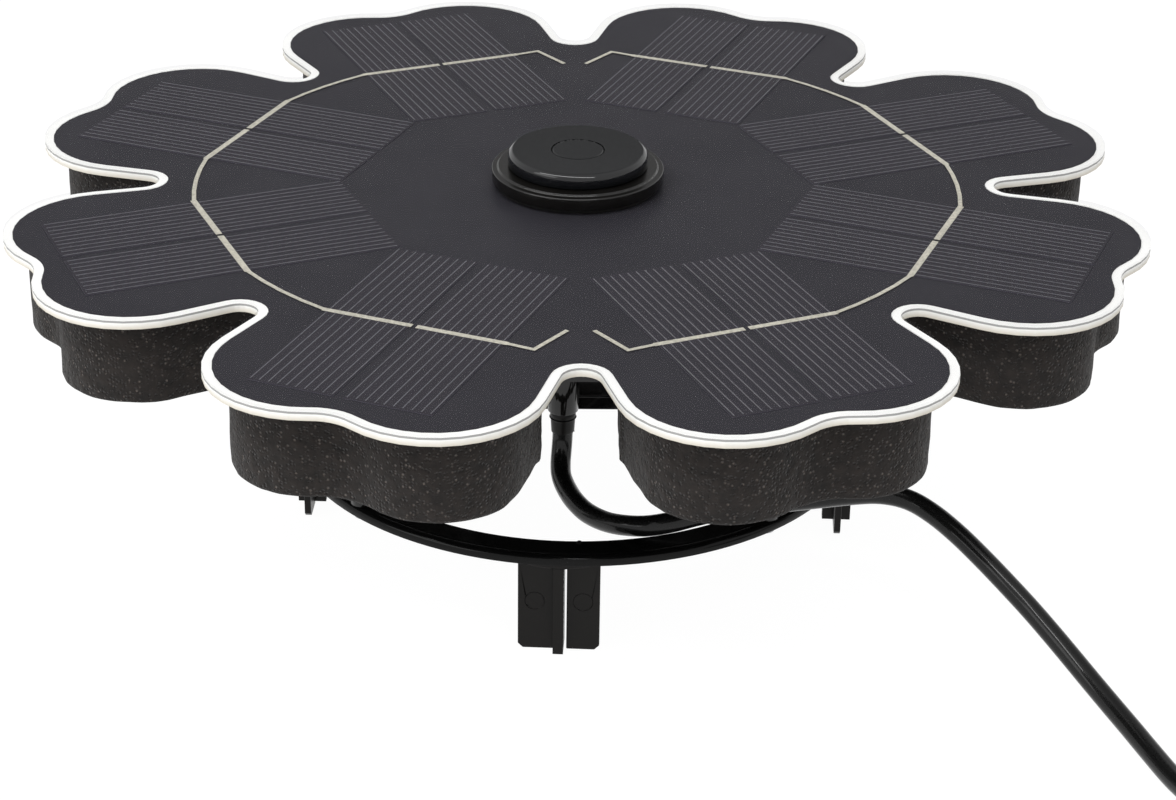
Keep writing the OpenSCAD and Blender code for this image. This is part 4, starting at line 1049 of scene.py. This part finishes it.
class FOUNTAIN_OT_stage(bpy.types.Operator):
    """Sets up the camera, a plain floor and soft studio light"""
    bl_idname = "fountain.stage"
    bl_label = "Set the stage"

    def execute(self, context):
        look, scene = context.scene.fountain_stage, context.scene
        data = bpy.data.cameras.new("photo_camera")
        data.lens, data.sensor_width, data.sensor_fit = look.lens, 36.0, "HORIZONTAL"
        data.clip_end = 50.0
        camera = bpy.data.objects.new("photo_camera", data)
        turn = (Matrix.Rotation(-math.radians(CAMERA_YAW), 4, "Z")
                @ Matrix.Rotation(math.pi / 2 - math.radians(CAMERA_PITCH), 4, "X")
                @ Matrix.Rotation(math.radians(CAMERA_ROLL), 4, "Z"))
        camera.matrix_world = Matrix.Translation(Vector(CAMERA_AT) * MM) @ turn
        scene.collection.objects.link(camera)
        scene.camera = camera
        scene.view_settings.view_transform = "Standard"

        world = bpy.data.worlds.new("studio")
        scene.world = world
        world.use_nodes = True
        tree = world.node_tree
        tree.nodes.clear()
        sky = put(tree, "ShaderNodeBackground", {"Color": (1, 1, 1, 1), "Strength": look.world})
        white = put(tree, "ShaderNodeBackground", {"Color": (1, 1, 1, 1), "Strength": 1.0})
        mix = put(tree, "ShaderNodeMixShader", {0: seen_plain(tree), 1: sky.outputs[0], 2: white.outputs[0]})
        put(tree, "ShaderNodeOutputWorld", {0: mix.outputs[0]})

        floor_mesh = bpy.data.meshes.new("floor")
        corners = [(x * FLOOR_REACH, y * FLOOR_REACH, 0) for x, y in ((-1, -1), (1, -1), (1, 1), (-1, 1))]
        floor_mesh.from_pydata(corners, [], [(0, 1, 2, 3)])
        floor = bpy.data.objects.new("floor", floor_mesh)
        scene.collection.objects.link(floor)
        material = bpy.data.materials.new("studio_floor")
        material.use_nodes = True
        tree = material.node_tree
        tree.nodes.clear()
        matt = put(tree, "ShaderNodeBsdfDiffuse", {"Color": (*look.floor, 1)})
        bright = put(tree, "ShaderNodeEmission", {"Color": (1, 1, 1, 1), "Strength": FLOOR_WHITE})
        share_seen = times(tree, seen_plain(tree), look.show_through)
        mix = put(tree, "ShaderNodeMixShader", {0: share_seen, 1: matt.outputs[0], 2: bright.outputs[0]})
        put(tree, "ShaderNodeOutputMaterial", {0: mix.outputs[0]})
        floor_mesh.materials.append(material)

        lamp("key_lamp", look.key, (1.5, 0.12), (-0.22, -0.52, 0.95))
        lamp("fill_lamp", look.fill, (0.8, 0.5), (-0.9, -0.6, 0.6))
        lamp("back_lamp", look.back, (1.0, 0.5), (0.1, 1.0, 0.8))
        return {"FINISHED"}


# Add-on


class FOUNTAIN_PT_panel(bpy.types.Panel):
    """Lists the settings and the steps"""
    bl_label = "Solar fountain pump"
    bl_idname = "FOUNTAIN_PT_panel"
    bl_space_type = "VIEW_3D"
    bl_region_type = "UI"
    bl_category = "Fountain"

    def draw(self, context):
        for step in STEPS:
            self.layout.operator(step.bl_idname)
        for title, settings in SETTINGS.items():
            box = self.layout.box()
            box.label(text=title.replace("fountain_", "").capitalize())
            group_of = getattr(context.scene, title)
            for key in settings.__annotations__:
                box.prop(group_of, key)


SETTINGS = {
    "fountain_panel": PanelLook,
    "fountain_foam": FoamLook,
    "fountain_moulding": MouldingLook,
    "fountain_lead": LeadLook,
    "fountain_stage": StageLook,
}
STEPS = (FOUNTAIN_OT_stage, FOUNTAIN_OT_finishes, FOUNTAIN_OT_lead, FOUNTAIN_OT_foam, FOUNTAIN_OT_lines)


def register():
    for cls in (*SETTINGS.values(), *STEPS, FOUNTAIN_PT_panel):
        bpy.utils.register_class(cls)
    for name, cls in SETTINGS.items():
        setattr(bpy.types.Scene, name, PointerProperty(type=cls))


def unregister():
    for name in SETTINGS:
        delattr(bpy.types.Scene, name)
    for cls in (FOUNTAIN_PT_panel, *reversed(STEPS), *reversed(SETTINGS.values())):
        bpy.utils.unregister_class(cls)


def main():
    register()
    bpy.ops.fountain.stage()
    bpy.ops.fountain.finishes()
    bpy.ops.fountain.lead()
    bpy.ops.fountain.foam()
    bpy.ops.fountain.lines()
    bpy.context.view_layer.update()


if __name__ == "__main__":
    main()
